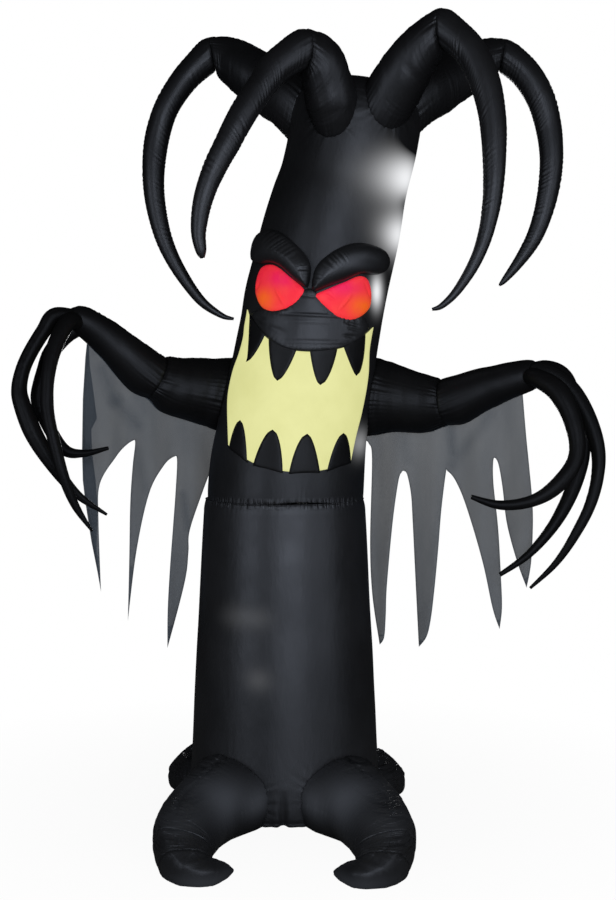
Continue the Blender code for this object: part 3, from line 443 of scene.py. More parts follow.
def between(points, start, end, rows, crowd=0.0):
    """The tube from start to end along each line, in this many rows, crowded towards both ends."""
    f = np.linspace(0, 1, rows)
    f = f - crowd * np.sin(2 * math.pi * f) / (2 * math.pi)
    at = start + (end - start) * f[:, None]
    low = np.clip(at.astype(int), 0, len(points) - 2)
    share = (at - low)[..., None]
    column = np.arange(points.shape[1])
    return points[low, column] * (1 - share) + points[low + 1, column] * share


def outward(points):
    """Unit normals of a tube's grid of points, away from its middle."""
    along = np.gradient(points, axis=0)
    around = np.roll(points, -1, axis=1) - np.roll(points, 1, axis=1)
    normals = unit(np.cross(along, around))
    middle = points.mean(axis=1, keepdims=True)
    if ((points - middle) * normals).sum() < 0:
        normals = -normals
    return normals


class Ripple:
    """Smooth seeded unevenness along a line that may close on itself, about -1 to 1."""

    def __init__(self, seed, waves):
        random = np.random.default_rng(seed)
        self.parts = [(count, random.uniform(0, 1), random.uniform(0.5, 1)) for count in waves]

    def __call__(self, turn):
        total = sum(size for _, _, size in self.parts)
        waves = [size * np.sin(2 * math.pi * (count * turn + shift)) for count, shift, size in self.parts]
        return sum(waves) / total * 1.5


def gathers(distance, turn, count, height, reach, seed):
    """Puckers that run away from a seam: rounded ribs between pinched valleys, uneven in size and spacing.

    distance is from the seam, turn runs from 0 to 1 along it, and count is how many puckers that holds."""
    count = max(1, round(count))
    wander = Ripple(seed, (2, 3, 5, 7))(turn) * 0.5 + Ripple(seed + 1, (9, 13, 17))(turn) * 0.25
    phase = math.pi * count * turn + math.pi * wander
    rib = 0.6 * (2 * np.abs(np.sin(phase)) - 1.2) + 0.4 * np.sin(2 * phase)
    size = np.clip(0.65 + 0.55 * Ripple(seed + 2, (3, 4, 7, 11))(turn), 0.08, 1.4)
    long = reach * np.clip(1 + 0.55 * Ripple(seed + 3, (5, 8, 13, 21))(turn), 0.35, 2)
    return height * size * rib * np.exp(-distance / long)


def pinch(distance, depth, width):
    """The cloth drawn in at a seam."""
    return -depth * np.exp(-((distance / width) ** 2))


class Tube:
    """A tube of cloth whose surface is then moved along its normals."""

    def __init__(self, points, seed):
        self.points = points
        self.normals = outward(points)
        self.from_start = lengths(points)
        self.share = self.from_start / np.maximum(self.from_start[-1], 1e-9)
        self.turn = np.linspace(0, 1, points.shape[1], endpoint=False)[None, :]
        self.ring = np.linalg.norm(np.roll(points, -1, axis=1) - points, axis=-1).sum(axis=1)
        self.move = np.zeros(points.shape[:2])
        self.seed = seed

    def end_seam(self, where, pitch, height, reach, depth=0.003, width=0.008):
        """Puckers and a pinch at the tube's start or end."""
        start = where == "start"
        distance = self.from_start if start else self.from_start[-1] - self.from_start
        count = self.ring[0 if start else -1] / pitch
        self.seed += 10
        self.move += gathers(distance, self.turn, count, height, reach, self.seed)
        self.move += pinch(distance, depth, width)

    def line_seam(self, at, pitch, height, reach, depth=0.002, width=0.004, low=0.0, high=1.0):
        """A seam along the tube, at this turn round it, with puckers from low to high of its length."""
        girth = self.ring[:, None]
        distance = np.abs((self.turn - at + 0.5) % 1 - 0.5) * girth
        fade = np.clip((self.share - low) / 0.06, 0, 1) * np.clip((high - self.share) / 0.06, 0, 1)
        self.seed += 10
        thin = np.minimum(1, girth / (girth.max() * 0.6))
        count = self.from_start[-1].mean() / pitch
        puckers = gathers(distance / thin, self.share, count, height, reach, self.seed)
        self.move += puckers * fade * thin**2 + pinch(distance, depth, width) * thin

    def unevenness(self, height, across, along):
        """Soft broad dents, this many across the tube and along it."""
        self.seed += 10
        waves = range(1, along + 1)
        for count in range(1, across + 1):
            drift = Ripple(self.seed + count, waves)(self.share * 0.5)
            wave = np.sin(2 * math.pi * (count * self.turn + 0.6 * drift + count * 0.37))
            self.move += height / across * wave * Ripple(self.seed + 20 + count, waves)(self.share * 0.5)

    def finished(self):
        return self.points + self.normals * self.move[..., None]


def sewn(points, seed, ends, lines, dents):
    """The tube's skin with its seams and dents.

    Columns of ends: start or end, its puckers' pitch, height and reach, its pinch's depth and width.
    Columns of lines: the turn round the tube, then the same, then the share of its length from which and to
    which the puckers run. dents: height, how many across, how many along."""
    tube = Tube(points, seed)
    for end in ends:
        tube.end_seam(*end)
    for line in lines:
        tube.line_seam(*line)
    tube.unevenness(*dents)
    return tube.finished()


def placed(name, data, place=(0, 0, 0), turned=(0, 0, 0)):
    """A new object in the scene."""
    made = bpy.data.objects.new(name, data)
    made.location = place
    made.rotation_euler = turned
    bpy.context.scene.collection.objects.link(made)
    return made


def mesh_object(name, points, faces, uvs=None):
    mesh = bpy.data.meshes.new(name)
    points = np.asarray(points, np.float32)
    faces = np.asarray(faces, np.int32)
    mesh.vertices.add(len(points))
    mesh.vertices.foreach_set("co", points.ravel())
    mesh.loops.add(faces.size)
    mesh.loops.foreach_set("vertex_index", faces.ravel())
    mesh.polygons.add(len(faces))
    mesh.polygons.foreach_set("loop_start", np.arange(0, faces.size, faces.shape[1], dtype=np.int32))
    mesh.update(calc_edges=True)
    if uvs is not None:
        layer = mesh.uv_layers.new(name="cloth")
        layer.uv.foreach_set("vector", np.asarray(uvs, np.float32).ravel())
    mesh.shade_smooth()
    return placed(name, mesh)


def facing_out(points, faces):
    a, b, c = (points[faces[:, corner]] for corner in range(3))
    return faces[:, ::-1] if (a * np.cross(b, c)).sum() < 0 else faces


def skin_of(grid):
    """A tube's grid of points as one list, and its quads, facing out."""
    rows, around = grid.shape[:2]
    index = np.arange(rows * around).reshape(rows, around)
    right = np.roll(index, -1, axis=1)
    quads = np.stack([index[:-1], right[:-1], right[1:], index[1:]], axis=-1).reshape(-1, 4)
    flat = grid.reshape(-1, 3)
    return flat, facing_out(flat, quads)


def tree_of(points):
    """A search tree of a tube's surface."""
    flat, quads = skin_of(points)
    return BVHTree.FromPolygons(flat.tolist(), quads.tolist())


def to_next(ring):
    """From each point of a ring to the next."""
    return np.roll(ring, -1, axis=0) - ring


END_RING = 0.02  # the share of its size that a tube's end is drawn in to


def tube_object(name, points):
    """A mesh from a tube's grid of points, each end drawn in to a small ring."""
    start, end = points[0].mean(axis=0), points[-1].mean(axis=0)
    grid = np.array([start + (points[0] - start) * END_RING, *points, end + (points[-1] - end) * END_RING])
    flat, quads = skin_of(grid)
    rows, around = grid.shape[:2]
    girth = np.linalg.norm(to_next(grid[rows // 2]), axis=-1).sum()
    u = np.broadcast_to(np.arange(around) / around * girth, (rows, around)).ravel()[quads]
    v = np.broadcast_to(lengths(grid).mean(axis=1)[:, None], (rows, around)).ravel()[quads]
    u = np.where(u < u.max(axis=1, keepdims=True) - girth / 2, u + girth, u)
    return mesh_object(name, flat, quads, np.stack([u, v], axis=-1))


def dress(obj, node, look):
    """obj stands for that CAD node, in that finish."""
    obj.data.materials.clear()
    obj.data.materials.append(look)
    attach(obj, BODY)
    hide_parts(node)


def add_tube(node, points, look):
    """The tube of black satin that stands for that CAD node."""
    dress(tube_object("cloth_" + node, points), node, look)


def node_material(name):
    made = bpy.data.materials.new(name)
    made.use_nodes = True
    return made, made.node_tree, made.node_tree.nodes["Principled BSDF"]


def connect(tree, value, socket):
    """The input gets this value, or a link to this output."""
    if isinstance(value, bpy.types.NodeSocket):
        tree.links.new(value, socket)
    else:
        socket.default_value = value


def put(tree, node, *firsts, **values):
    """Fills a node's first inputs, and those named, where _ stands for a space."""
    named = ((name.replace("_", " "), value) for name, value in values.items())
    for key, value in (*enumerate(firsts), *named):
        connect(tree, value, node.inputs[key])
    return node


def add_node(tree, kind, *firsts, **values):
    return put(tree, tree.nodes.new("ShaderNode" + kind), *firsts, **values)


def maths(tree, operation, *firsts, kind="Math", output=0, **values):
    """What a node gives for this operation."""
    made = tree.nodes.new("ShaderNode" + kind)
    made.operation = operation
    return put(tree, made, *firsts, **values).outputs[output]


def vector(tree, operation, *firsts, output=0, **values):
    return maths(tree, operation, *firsts, kind="VectorMath", output=output, **values)


def total_of(tree, values):
    total, *others = values
    for value in others:
        total = maths(tree, "ADD", total, value)
    return total


def cloth_place(tree, scale=(1, 1, 1)):
    """The place in the shared frame, stretched."""
    return vector(tree, "MULTIPLY", tree.nodes.new("ShaderNodeTexCoord").outputs["Object"], scale)


def noise(tree, place, scale, detail=2.0, roughness=0.5):
    made = add_node(tree, "TexNoise", Vector=place, Scale=scale, Detail=detail, Roughness=roughness)
    return made.outputs["Fac"]


def remap(tree, value, low, high, to_low, to_high):
    """The value taken from one range to another, and kept in it."""
    made = add_node(tree, "MapRange", Value=value, From_Min=low, From_Max=high, To_Min=to_low, To_Max=to_high)
    return made.outputs["Result"]


def blended(tree, share, first, second):
    """A colour between two, by share."""
    made = tree.nodes.new("ShaderNodeMix")
    made.data_type = "RGBA"
    for key, value in (("Factor", share), (6, first), (7, second)):
        connect(tree, value, made.inputs[key])
    return made.outputs[2]


def raised(tree, height, strength, distance, below=None):
    """Bump from a height, over any bump below it."""
    made = add_node(tree, "Bump", Height=height, Strength=strength, Distance=distance)
    if below is not None:
        connect(tree, below, made.inputs["Normal"])
    return made.outputs["Normal"]


GLOW_DEPTH = 0.19  # how far back a glow reaches


def spots(tree, rows):
    """Soft round glows, added up; a negative one takes light away.

    Columns: x, y, z, radius across, radius up, strength."""
    place = cloth_place(tree)
    glows = []
    for x, y, z, across, up, strength in rows:
        rel = vector(tree, "SUBTRACT", place, (x, y, z))
        rel = vector(tree, "MULTIPLY", rel, (1 / across, 1 / GLOW_DEPTH, 1 / up))
        size = vector(tree, "DOT_PRODUCT", rel, rel, output="Value")
        fall = maths(tree, "EXPONENT", maths(tree, "MULTIPLY", size, -1.0))
        glows.append(maths(tree, "MULTIPLY", fall, strength))
    return maths(tree, "MAXIMUM", total_of(tree, glows), 0.0)


def folds(tree, rows):
    """Soft straight folds seen from the front, added up.

    Columns: x, z of one end, x, z of the other, width, strength."""
    place = cloth_place(tree, (1, 0, 1))
    heights = []
    for x, z, far_x, far_z, width, strength in rows:
        run = Vector((far_x - x, 0, far_z - z))
        rel = vector(tree, "SUBTRACT", place, (x, 0, z))
        along = vector(tree, "DOT_PRODUCT", rel, run / run.length_squared, output="Value")
        nearest = vector(tree, "SCALE", run, Scale=remap(tree, along, 0, 1, 0, 1))
        away = vector(tree, "DISTANCE", rel, nearest, output="Value")
        heights.append(remap(tree, away, 0.0, width, strength, 0.0))
    return total_of(tree, heights)


SATIN_TINT = (0.75, 0.83, 1.0, 1)
LAMP_WHITE = (0.97, 0.98, 1.0, 1)
WEAVE = 900.0  # threads of the weave's noise to a metre


def gathered_ticks(tree, height, reach):
    """Fine upright ticks, as in gathered cloth, at this height and dying away within reach."""
    parts = add_node(tree, "SeparateXYZ", cloth_place(tree)).outputs
    turn = maths(tree, "ARCTAN2", parts["X"], parts["Y"])
    along = add_node(tree, "CombineXYZ", X=turn, Y=parts["Z"]).outputs[0]
    ticks = noise(tree, vector(tree, "MULTIPLY", along, (26, 6, 1)), 1.0, 2)
    from_seam = maths(tree, "ABSOLUTE", maths(tree, "SUBTRACT", parts["Z"], height))
    share = remap(tree, from_seam, 0.0, reach, 1.0, 0.0)
    return maths(tree, "MULTIPLY", remap(tree, ticks, 0.35, 0.65, 0.0, 1.0), share)


def black_satin(name, tone, shine, glows=(), gathered=None, glow_colour=LAMP_WHITE, creased=()):
    """Thin black satin: fine weave, faint drawn lines, uneven gloss, and glows: light from lamps behind it on
    the trunk, painted highlights on the face and feet.

    gathered is the height of a seam that gathers it, lamp the colour of its glows and painted highlights,
    creased where folds() puts level creases."""
    made, tree, shader = node_material("black satin, " + name)
    place = cloth_place(tree)
    broad = remap(tree, noise(tree, place, 2.6, 3), 0.35, 0.65, 0, 1)
    shades = [(*(share * value for value in tone), 1) for share in (0.75, 1.25)]
    gloss = remap(tree, noise(tree, place, 9.0, 4, 0.6), 0.3, 0.7, 0.38, 0.48)
    drawn = noise(tree, cloth_place(tree, (1, 1, 0.35)), 34.0, 4, 0.55)
    normal = raised(tree, noise(tree, place, WEAVE, 1), 0.15, 0.0006)
    normal = raised(tree, drawn, 0.30, 0.004, normal)
    if gathered:
        normal = raised(tree, gathered_ticks(tree, gathered, 0.026), 0.8, 0.010, normal)
    if creased:
        creases = remap(tree, noise(tree, cloth_place(tree, (0.10, 0.10, 1)), 42.0, 2), 0.35, 0.65, 0.0, 1.0)
        normal = raised(tree, maths(tree, "MULTIPLY", creases, folds(tree, creased)), 1.0, 0.016, normal)
    put(tree, shader, Base_Color=blended(tree, broad, *shades), Roughness=gloss, Normal=normal)
    put(tree, shader, Specular_IOR_Level=shine, Specular_Tint=SATIN_TINT)
    # Emission: lamp light on the trunk, painted highlights on the face and feet.
    if glows:
        put(tree, shader, Emission_Color=glow_colour, Emission_Strength=spots(tree, glows))
    return made


def yellow_cloth():
    made, tree, shader = node_material("yellow cloth")
    place = cloth_place(tree)
    broad = remap(tree, noise(tree, place, 7.0, 3), 0.35, 0.7, 0, 1)
    colour = blended(tree, broad, (0.23, 0.23, 0.10, 1), (0.20, 0.20, 0.08, 1))
    lit = blended(tree, broad, (0.82, 0.82, 0.37, 1), (0.78, 0.78, 0.34, 1))
    drawn = noise(tree, cloth_place(tree, (0.4, 1, 1)), 30.0, 3)
    normal = raised(tree, noise(tree, place, WEAVE, 1), 0.15, 0.0006)
    normal = raised(tree, drawn, 0.25, 0.004, normal)
    put(tree, shader, Base_Color=colour, Roughness=0.55, Normal=normal)
    put(tree, shader, Emission_Color=lit, Emission_Strength=0.77)
    return made


def red_cloth(magenta, orange):
    """Red cloth lit from behind, pinker and more orange in places. Each glow has the columns of spots."""
    made, tree, shader = node_material("red cloth")
    mottle = remap(tree, noise(tree, cloth_place(tree), 14.0, 3), 0.45, 0.75, 0, 0.5)
    colour = (0.92, 0.026, 0.048, 1)
    for share, shade in (
        (spots(tree, magenta), (0.84, 0.012, 0.11, 1)),
        (spots(tree, orange), (0.94, 0.15, 0.008, 1)),
        (mottle, (0.95, 0.07, 0.05, 1)),
    ):
        colour = blended(tree, share, colour, shade)
    normal = raised(tree, noise(tree, cloth_place(tree), 40.0, 3), 0.3, 0.003)
    put(tree, shader, Base_Color=colour, Roughness=0.45, Normal=normal, Specular_IOR_Level=0.18)
    put(tree, shader, Emission_Color=colour, Emission_Strength=0.35)
    return made


# Soft folds in the gauze. Columns: x, z of one end, x, z of the other, width, strength
GAUZE_FOLDS = (
    (-0.823, 2.025, -0.768, 1.878, 0.045, 0.06), (-0.768, 1.878, -0.677, 1.768, 0.05, 0.06),
    (-0.695, 1.99, -0.64, 1.83, 0.04, 0.025), (-0.677, 1.64, -0.64, 1.475, 0.04, 0.03),
    (-0.475, 1.44, -0.448, 1.283, 0.03, 0.05), (0.764, 1.76, 0.778, 1.64, 0.035, 0.06),
    (0.778, 1.581, 0.935, 1.815, 0.04, 0.045), (0.56, 1.77, 0.575, 1.6, 0.04, 0.025),
)


def sheer_black():
    """Sheer black gauze, denser in its soft folds."""
    made, tree, shader = node_material("sheer black")
    streaks = noise(tree, cloth_place(tree, (1, 1, 0.25)), 11.0, 3)
    mesh = noise(tree, cloth_place(tree), 420.0, 1)
    parts = add_node(tree, "SeparateXYZ", cloth_place(tree)).outputs
    edge = add_node(tree, "SeparateXYZ", tree.nodes.new("ShaderNodeTexCoord").outputs["UV"]).outputs["X"]
    cover = total_of(tree, (
        remap(tree, streaks, 0.3, 0.7, 0.725, 0.765),
        remap(tree, mesh, 0.3, 0.7, -0.03, 0.03),
        remap(tree, parts["Z"], 1.5, 0.8, 0.0, 0.060),
        remap(tree, parts["X"], -0.4, 0.4, -0.008, -0.036),
        folds(tree, GAUZE_FOLDS),
        remap(tree, edge, 0.0, 0.007, 0.10, 0.0),
    ))
    put(tree, shader, Base_Color=(0.060, 0.076, 0.099, 1), Roughness=0.8, Specular_IOR_Level=0.2, Alpha=cover)
    return made


def floor_look():
    """A pale floor that turns plain white away from the figure, and throws little light back up at it."""
    made, tree, shader = node_material("pale floor")
    seen = tree.nodes.new("ShaderNodeLightPath").outputs["Is Camera Ray"]
    pale = blended(tree, seen, (0.12, 0.12, 0.12, 1), (0.95, 0.95, 0.95, 1))
    put(tree, shader, Base_Color=pale, Roughness=0.9, Specular_IOR_Level=0.0)
    away = vector(tree, "LENGTH", cloth_place(tree, (0.55, 0.55, 1)), output="Value")
    share = maths(tree, "MULTIPLY", remap(tree, away, 0.3, 1.3, 0.94, 1.0), seen)
    white = add_node(tree, "Emission", Strength=1.0).outputs[0]
    mix = add_node(tree, "MixShader", share, shader.outputs[0], white).outputs[0]
    tree.links.new(mix, tree.nodes["Material Output"].inputs["Surface"])
    return made


# Lamps behind the trunk's cloth, and dark patches. Columns: x, y, z, radius across, radius up, strength
UPPER_GLOWS = (
    (0.552, -0.12, 2.885, 0.162, 0.096, 0.86), (0.53, -0.11, 2.63, 0.1, 0.082, 0.82),
    (0.46, -0.15, 2.775, 0.14, 0.15, 0.07), (0.417, -0.15, 2.37, 0.026, 0.066, 0.9),
    (0.345, -0.17, 1.69, 0.046, 0.06, 0.24), (0.6, -0.12, 3.02, 0.075, 0.055, -0.22),
    (0.565, -0.12, 2.78, 0.04, 0.045, -0.25),
)
LOWER_GLOWS = (
    (-0.105, -0.35, 0.925, 0.06, 0.05, 0.024), (-0.2, -0.35, 0.925, 0.07, 0.055, 0.026),
    (-0.109, -0.38, 0.653, 0.055, 0.05, 0.036),
)
MAGENTA_GLOWS = (
    (-0.01, -0.3, 2.42, 0.07, 0.04, 0.9), (0.27, -0.3, 2.38, 0.08, 0.035, 0.9),
)
ORANGE_GLOWS = (
    (-0.085, -0.26, 2.33, 0.045, 0.05, 0.9), (0.35, -0.25, 2.3, 0.06, 0.05, 0.9),
)

# A painted highlight on the right brow's lower centre, added to the face's satin as a faint glow.
FACE_PAINTED_HIGHLIGHTS = ((0.320, -0.400, 2.482, 0.070, 0.022, 0.024),)
# Painted highlights on the left front foot, added as faint glows
FOOT_PAINTED_HIGHLIGHTS = (
    (-0.255, -0.7, 0.205, 0.14, 0.085, 0.04), (-0.405, -0.85, 0.185, 0.075, 0.035, 0.034),
    (-0.125, -0.42, 0.14, 0.065, 0.06, 0.042), (-0.3, -1.15, 0.02, 0.11, 0.035, 0.024),
)
# Creases on the front feet. Columns as in folds()
FOOT_CREASES = (
    (-0.300, 0.320, -0.530, 0.130, 0.085, 1.0),
    (FRONT_RIGHT_SHIFT[0] + 0.300, 0.320, FRONT_RIGHT_SHIFT[0] + 0.530, 0.130, 0.085, 1.0),
)
# The painted highlights of both front feet, the left foot's mirrored for the right.
BOTH_FOOT_PAINTED_HIGHLIGHTS = FOOT_PAINTED_HIGHLIGHTS + tuple((FRONT_RIGHT_SHIFT[0] - row[0], *row[1:]) for row in FOOT_PAINTED_HIGHLIGHTS)

# One black satin throughout. Each piece's tone below paints light and shade: the trunk, feet and face painted
# lighter, the horns and teeth darker, the arms and fingers darkest, as though less lit.
STEM_SATIN = black_satin("stems", (0.0080, 0.0082, 0.0092), 0.36)
CLAW_SATIN = black_satin("claws", (0.0080, 0.0082, 0.0092), 0.50)
FINGER_SATIN = black_satin("fingers", (0.0050, 0.0051, 0.0056), 0.10)
ARM_SATIN = black_satin("arms", (0.0055, 0.0056, 0.0062), 0.18)
# The feet's glows are painted highlights, tinted as the satin's sheen.
FOOT_SATIN = black_satin(
    "feet", (0.0130, 0.0136, 0.0154), 0.26, BOTH_FOOT_PAINTED_HIGHLIGHTS, glow_colour=SATIN_TINT, creased=FOOT_CREASES
)
# The face's glow is a painted highlight, tinted as the satin's sheen.
FACE_SATIN = black_satin("face", (0.0105, 0.0108, 0.0120), 0.54, FACE_PAINTED_HIGHLIGHTS, glow_colour=SATIN_TINT)
TOOTH_SATIN = black_satin("teeth", (0.0085, 0.0086, 0.0092), 0.17)
UPPER_SATIN = black_satin("upper trunk", (0.0110, 0.0115, 0.0130), 0.34, UPPER_GLOWS, WAIST_Z)
LOWER_SATIN = black_satin("lower trunk", (0.0120, 0.0125, 0.0142), 0.54, LOWER_GLOWS, WAIST_Z)
YELLOW = yellow_cloth()
RED = red_cloth(MAGENTA_GLOWS, ORANGE_GLOWS)
GAUZE = sheer_black()


# The trunk's mesh, in columns round it and rows along it
UPPER_AROUND, UPPER_ROWS = 340, 200
LOWER_AROUND = 320
TOP_ROWS, WALL_ROWS, BASE_ROWS = 10, 215, 12
TOP_FLAT = 0.336  # how far along its profile the lower trunk's wall starts
BASE_FLAT = 0.395  # how far from the profile's other end it stops
# Its seams
WAIST_GIRTH = 2.3
WAIST_PITCH = 0.021
GROUND_GIRTH = 2.7
GROUND_PITCH = 0.050
UPPER_SEED, LOWER_SEED, WAIST_SEED, GROUND_SEED, RING_SEED = 100, 200, 210, 220, 240


def trunk_tubes():
    """Both halves of the trunk, gathered at the waist, and the lower one at the ground too."""
    points = columns_of(even_path(UPPER_TRUNK), UPPER_AROUND)
    upper = Tube(between(points, 0.0, len(points) - 1.0, UPPER_ROWS, 0.4), UPPER_SEED)
    upper.end_seam("start", WAIST_PITCH, 0.0030, 0.018, 0.0010, 0.006)
    upper.unevenness(0.004, 5, 6)
    fine = even_path([(radius, 0, height, 0) for radius, height in LOWER_TRUNK])
    rows = np.arange(len(fine))
    waist = np.interp(TOP_FLAT, rows * STEP, rows)
    foot = len(fine) - 1 - BASE_FLAT / STEP
    kept = np.concatenate([
        np.linspace(0, waist, TOP_ROWS)[:-1],
        np.linspace(waist, foot, WALL_ROWS),
        np.linspace(foot, len(fine) - 1, BASE_ROWS)[1:],
    ])
    fine = rows_at(kept, rows, fine)
    angles = np.linspace(0, 2 * math.pi, LOWER_AROUND, endpoint=False)
    ring = np.stack([np.sin(angles), -np.cos(angles), np.zeros(LOWER_AROUND)], axis=1)
    turned = fine[:, 0][:, None, None] * ring + np.array([0, 0, 1.0]) * fine[:, 2][:, None, None]
    lower = Tube(turned, LOWER_SEED)
    radius = np.linalg.norm(turned[..., :2], axis=-1)
    below_waist = np.abs(WAIST_Z - turned[..., 2])
    count = WAIST_GIRTH / WAIST_PITCH
    lower.move += gathers(below_waist, lower.turn, count, 0.0028, 0.024, WAIST_SEED) * (radius > 0.33)
    above_ground = np.abs(turned[..., 2])
    wall = radius > 0.40
    count = GROUND_GIRTH / GROUND_PITCH
    lower.move += gathers(above_ground, lower.turn, count, 0.0028, 0.060, GROUND_SEED) * wall
    front = np.abs((lower.turn + 0.5) % 1 - 0.5) * GROUND_GIRTH
    lower.move += pinch(front, 0.016, 0.014) * np.clip(1 - above_ground / 0.17, 0, 1) * wall
    lower.unevenness(0.004, 6, 5)
    return upper, lower


def pulled_at(tube, rings, pitch, height, reach):
    """The tube's skin, with puckers that run away from each ring where another piece is sewn on."""
    flat = tube.points.reshape(-1, 3)
    move = tube.move.reshape(-1)
    for number, ring in enumerate(rings):
        low, high = ring.min(axis=0) - 4 * reach, ring.max(axis=0) + 4 * reach
        near = np.where(((flat > low) & (flat < high)).all(axis=1))[0]
        gaps = np.linalg.norm(flat[near][:, None] - ring[None], axis=2)
        index = gaps.argmin(axis=1)
        length = np.linalg.norm(to_next(ring), axis=1).sum()
        distance = gaps[np.arange(len(near)), index]
        seed = RING_SEED + 10 * number
        move[near] += gathers(distance, index / len(ring), length / pitch, height, reach, seed)
    return tube.finished()


def mitre(first, second):
    """The seam plane between two paths that share an end, and both paths run on past it."""
    corner = first[-1, :3]
    back = max(2, int(0.06 / STEP))
    along_first = unit(corner - first[-1 - back, :3])
    along_second = unit(second[back, :3] - corner)
    seam = unit(along_first + along_second)
    spare = np.arange(1, int(1.9 * first[-1, 3] / STEP) + 1)[:, None] * STEP
    radius = np.full((len(spare), 1), first[-1, 3])
    past = np.hstack([corner + along_first * spare, radius])
    before = np.hstack([corner - along_second * spare[::-1], radius])
    return corner, seam, np.vstack([first, past]), np.vstack([before, second])


def elbowed(first_rows, second_rows, around, rows, trees, reach):
    """Two tubes sewn together at a mitre, the first sewn to the skins."""
    first = even_path(first_rows)
    second = even_path((first_rows[-1], *second_rows))
    corner, seam, longer_first, longer_second = mitre(first, second)
    points = columns_of(longer_first, around[0])
    start = starts_outside(points, trees, reach)
    end = first_crossing(plane_gap(points, corner - seam * SEAM, seam), start)
    one = between(points, start, end, rows[0], 0.5)
    points = columns_of(longer_second, around[1])
    near = int(4 * first_rows[-1][3] / STEP)
    start = last_crossing(plane_gap(points[:near], corner + seam * SEAM, seam))
    two = between(points, start, len(points) - 1.0, rows[1])
    inside = unit(unit(second[10, :3] - corner) - unit(corner - first[-10, :3]))
    radius = first[-1, 3]
    return rounded_elbow(one, -1, corner, inside, radius), rounded_elbow(two, 0, corner, inside, radius)


def rounded_elbow(points, end, corner, inside, radius):
    """The outer side of a mitred elbow drawn in at the seam and blown out beside it, as air does."""
    rim = points[end] - corner
    outer = np.clip(-(unit(rim) @ inside), 0, 1)
    distance = np.linalg.norm(points - points[end], axis=-1)
    draw = 0.20 * outer**2 * np.exp(-((distance / (0.45 * radius)) ** 2))
    blow = 0.07 * outer * np.exp(-(((distance - radius) / (0.7 * radius)) ** 2))
    return points + ((draw - blow) * radius)[..., None] * inside


upper_tube, lower_tube = trunk_tubes()
upper_tree = tree_of(upper_tube.finished())
lower_tree = tree_of(lower_tube.finished())
upper_rings = []
lower_rings = []


STEM_SEED, CLAW_SEED, ARM_SEED, FORE_SEED, FINGER_SEED, FOOT_SEED = 300, 350, 700, 750, 800, 900
EYE_SEED, BROW_SEED, MUZZLE_SEED = 1200, 1300, 1400


def add_horns():
    trees = [upper_tree]
    for number, (place, (stem_rows, claw_rows)) in enumerate(HORNS.items()):
        stem, claw = elbowed(stem_rows, claw_rows, around=(128, 76), rows=(100, 270), trees=trees, reach=0.45)
        right = place.endswith("right")
        inner = 0.22 if right else 0.78
        stem = sewn(
            stem, STEM_SEED + 100 * number,
            ends=(("start", 0.026, 0.006, 0.045, 0.006), ("end", 0.024, 0.005, 0.035, 0.005)),
            lines=(
                (inner, 0.021, 0.0060, 0.060, 0.004, 0.006),
                (1 - inner, 0.024, 0.0035, 0.035, 0.003, 0.006),
            ),
            dents=(0.0030, 3, 4),
        )
        claw = sewn(
            claw, CLAW_SEED + 100 * number,
            ends=(("start", 0.024, 0.005, 0.040, 0.005),),
            lines=(
                (inner - 0.05 * (1 if right else -1), 0.020, 0.0045, 0.028, 0.0035, 0.005),
                (1 - inner, 0.024, 0.0030, 0.022, 0.0025, 0.005),
            ),
            dents=(0.0022, 2, 9),
        )
        upper_rings.append(stem[0])
        add_tube(f"horn_{place}_stem", stem, STEM_SATIN)
        add_tube(f"horn_{place}_claw", claw, CLAW_SATIN)
        trees = [upper_tree, tree_of(stem)] if place == "front_left" else [upper_tree]


def add_arms():
    for side, (upper_rows, fore_rows) in ARMS.items():
        upper, fore = elbowed(
            upper_rows, fore_rows, around=(160, 128), rows=(70, 84), trees=[upper_tree], reach=0.5
        )
        upper = sewn(
            upper, ARM_SEED,
            ends=(("start", 0.026, 0.006, 0.050, 0.006), ("end", 0.026, 0.006, 0.040, 0.005)),
            lines=((0.30, 0.030, 0.004, 0.040),),
            dents=(0.004, 3, 3),
        )
        fore = sewn(
            fore, FORE_SEED,
            ends=(("start", 0.026, 0.006, 0.040, 0.005),),
            lines=((0.30, 0.026, 0.004, 0.030),),
            dents=(0.003, 3, 3),
        )
        upper_rings.append(upper[0])
        add_tube(f"arm_{side}_upper", upper, ARM_SATIN)
        add_tube(f"arm_{side}_fore", fore, ARM_SATIN)
        trees = [tree_of(fore)]
        for number in (1, 2, 3):
            points = columns_of(even_path(FINGERS[f"{side}_{number}"]), around=48)
            start = starts_outside(points, trees, reach=0.30, sink=0.002)
            finger = between(points, start, len(points) - 1.0, rows=110)
            seam = (0.12, 0.022, 0.0030, 0.014, 0.002, 0.004)
            finger = sewn(finger, FINGER_SEED + number, ends=(), lines=(seam,), dents=(0.0015, 2, 6))
            add_tube(f"finger_{side}_{number}", finger, FINGER_SATIN)
            trees.append(tree_of(finger))


def ring_seams(rows, seams, side):
    """The planes of a foot's ring seams: a point, and the way towards the toe."""
    planes = []
    step = 0.1
    for value, turn, lean in seams:
        turn, lean = math.radians(turn), math.radians(lean)
        near = smooth(rows, np.array([value - step, value, value + step]))[:, :3]
        ahead = near[2] - near[0]
        ahead[2] = 0
        ahead = unit(ahead)
        outer = np.cross(ahead, (0, 0, 1)) * side
        ahead = ahead * math.cos(turn) + outer * math.sin(turn)
        planes.append((near[1], ahead * math.cos(lean) - np.array((0, 0, math.sin(lean)))))
    return planes


def pressed_flat(points):
    """The part that would be under the ground is pressed up to it."""
    points = points.copy()
    z = points[..., 2]
    points[..., 2] = 0.5 * (z + np.sqrt(z * z + FLOOR_SOFT**2)) - FLOOR_SOFT / 4 + 0.001
    points[..., 2] = np.maximum(points[..., 2], 0.001)
    return points


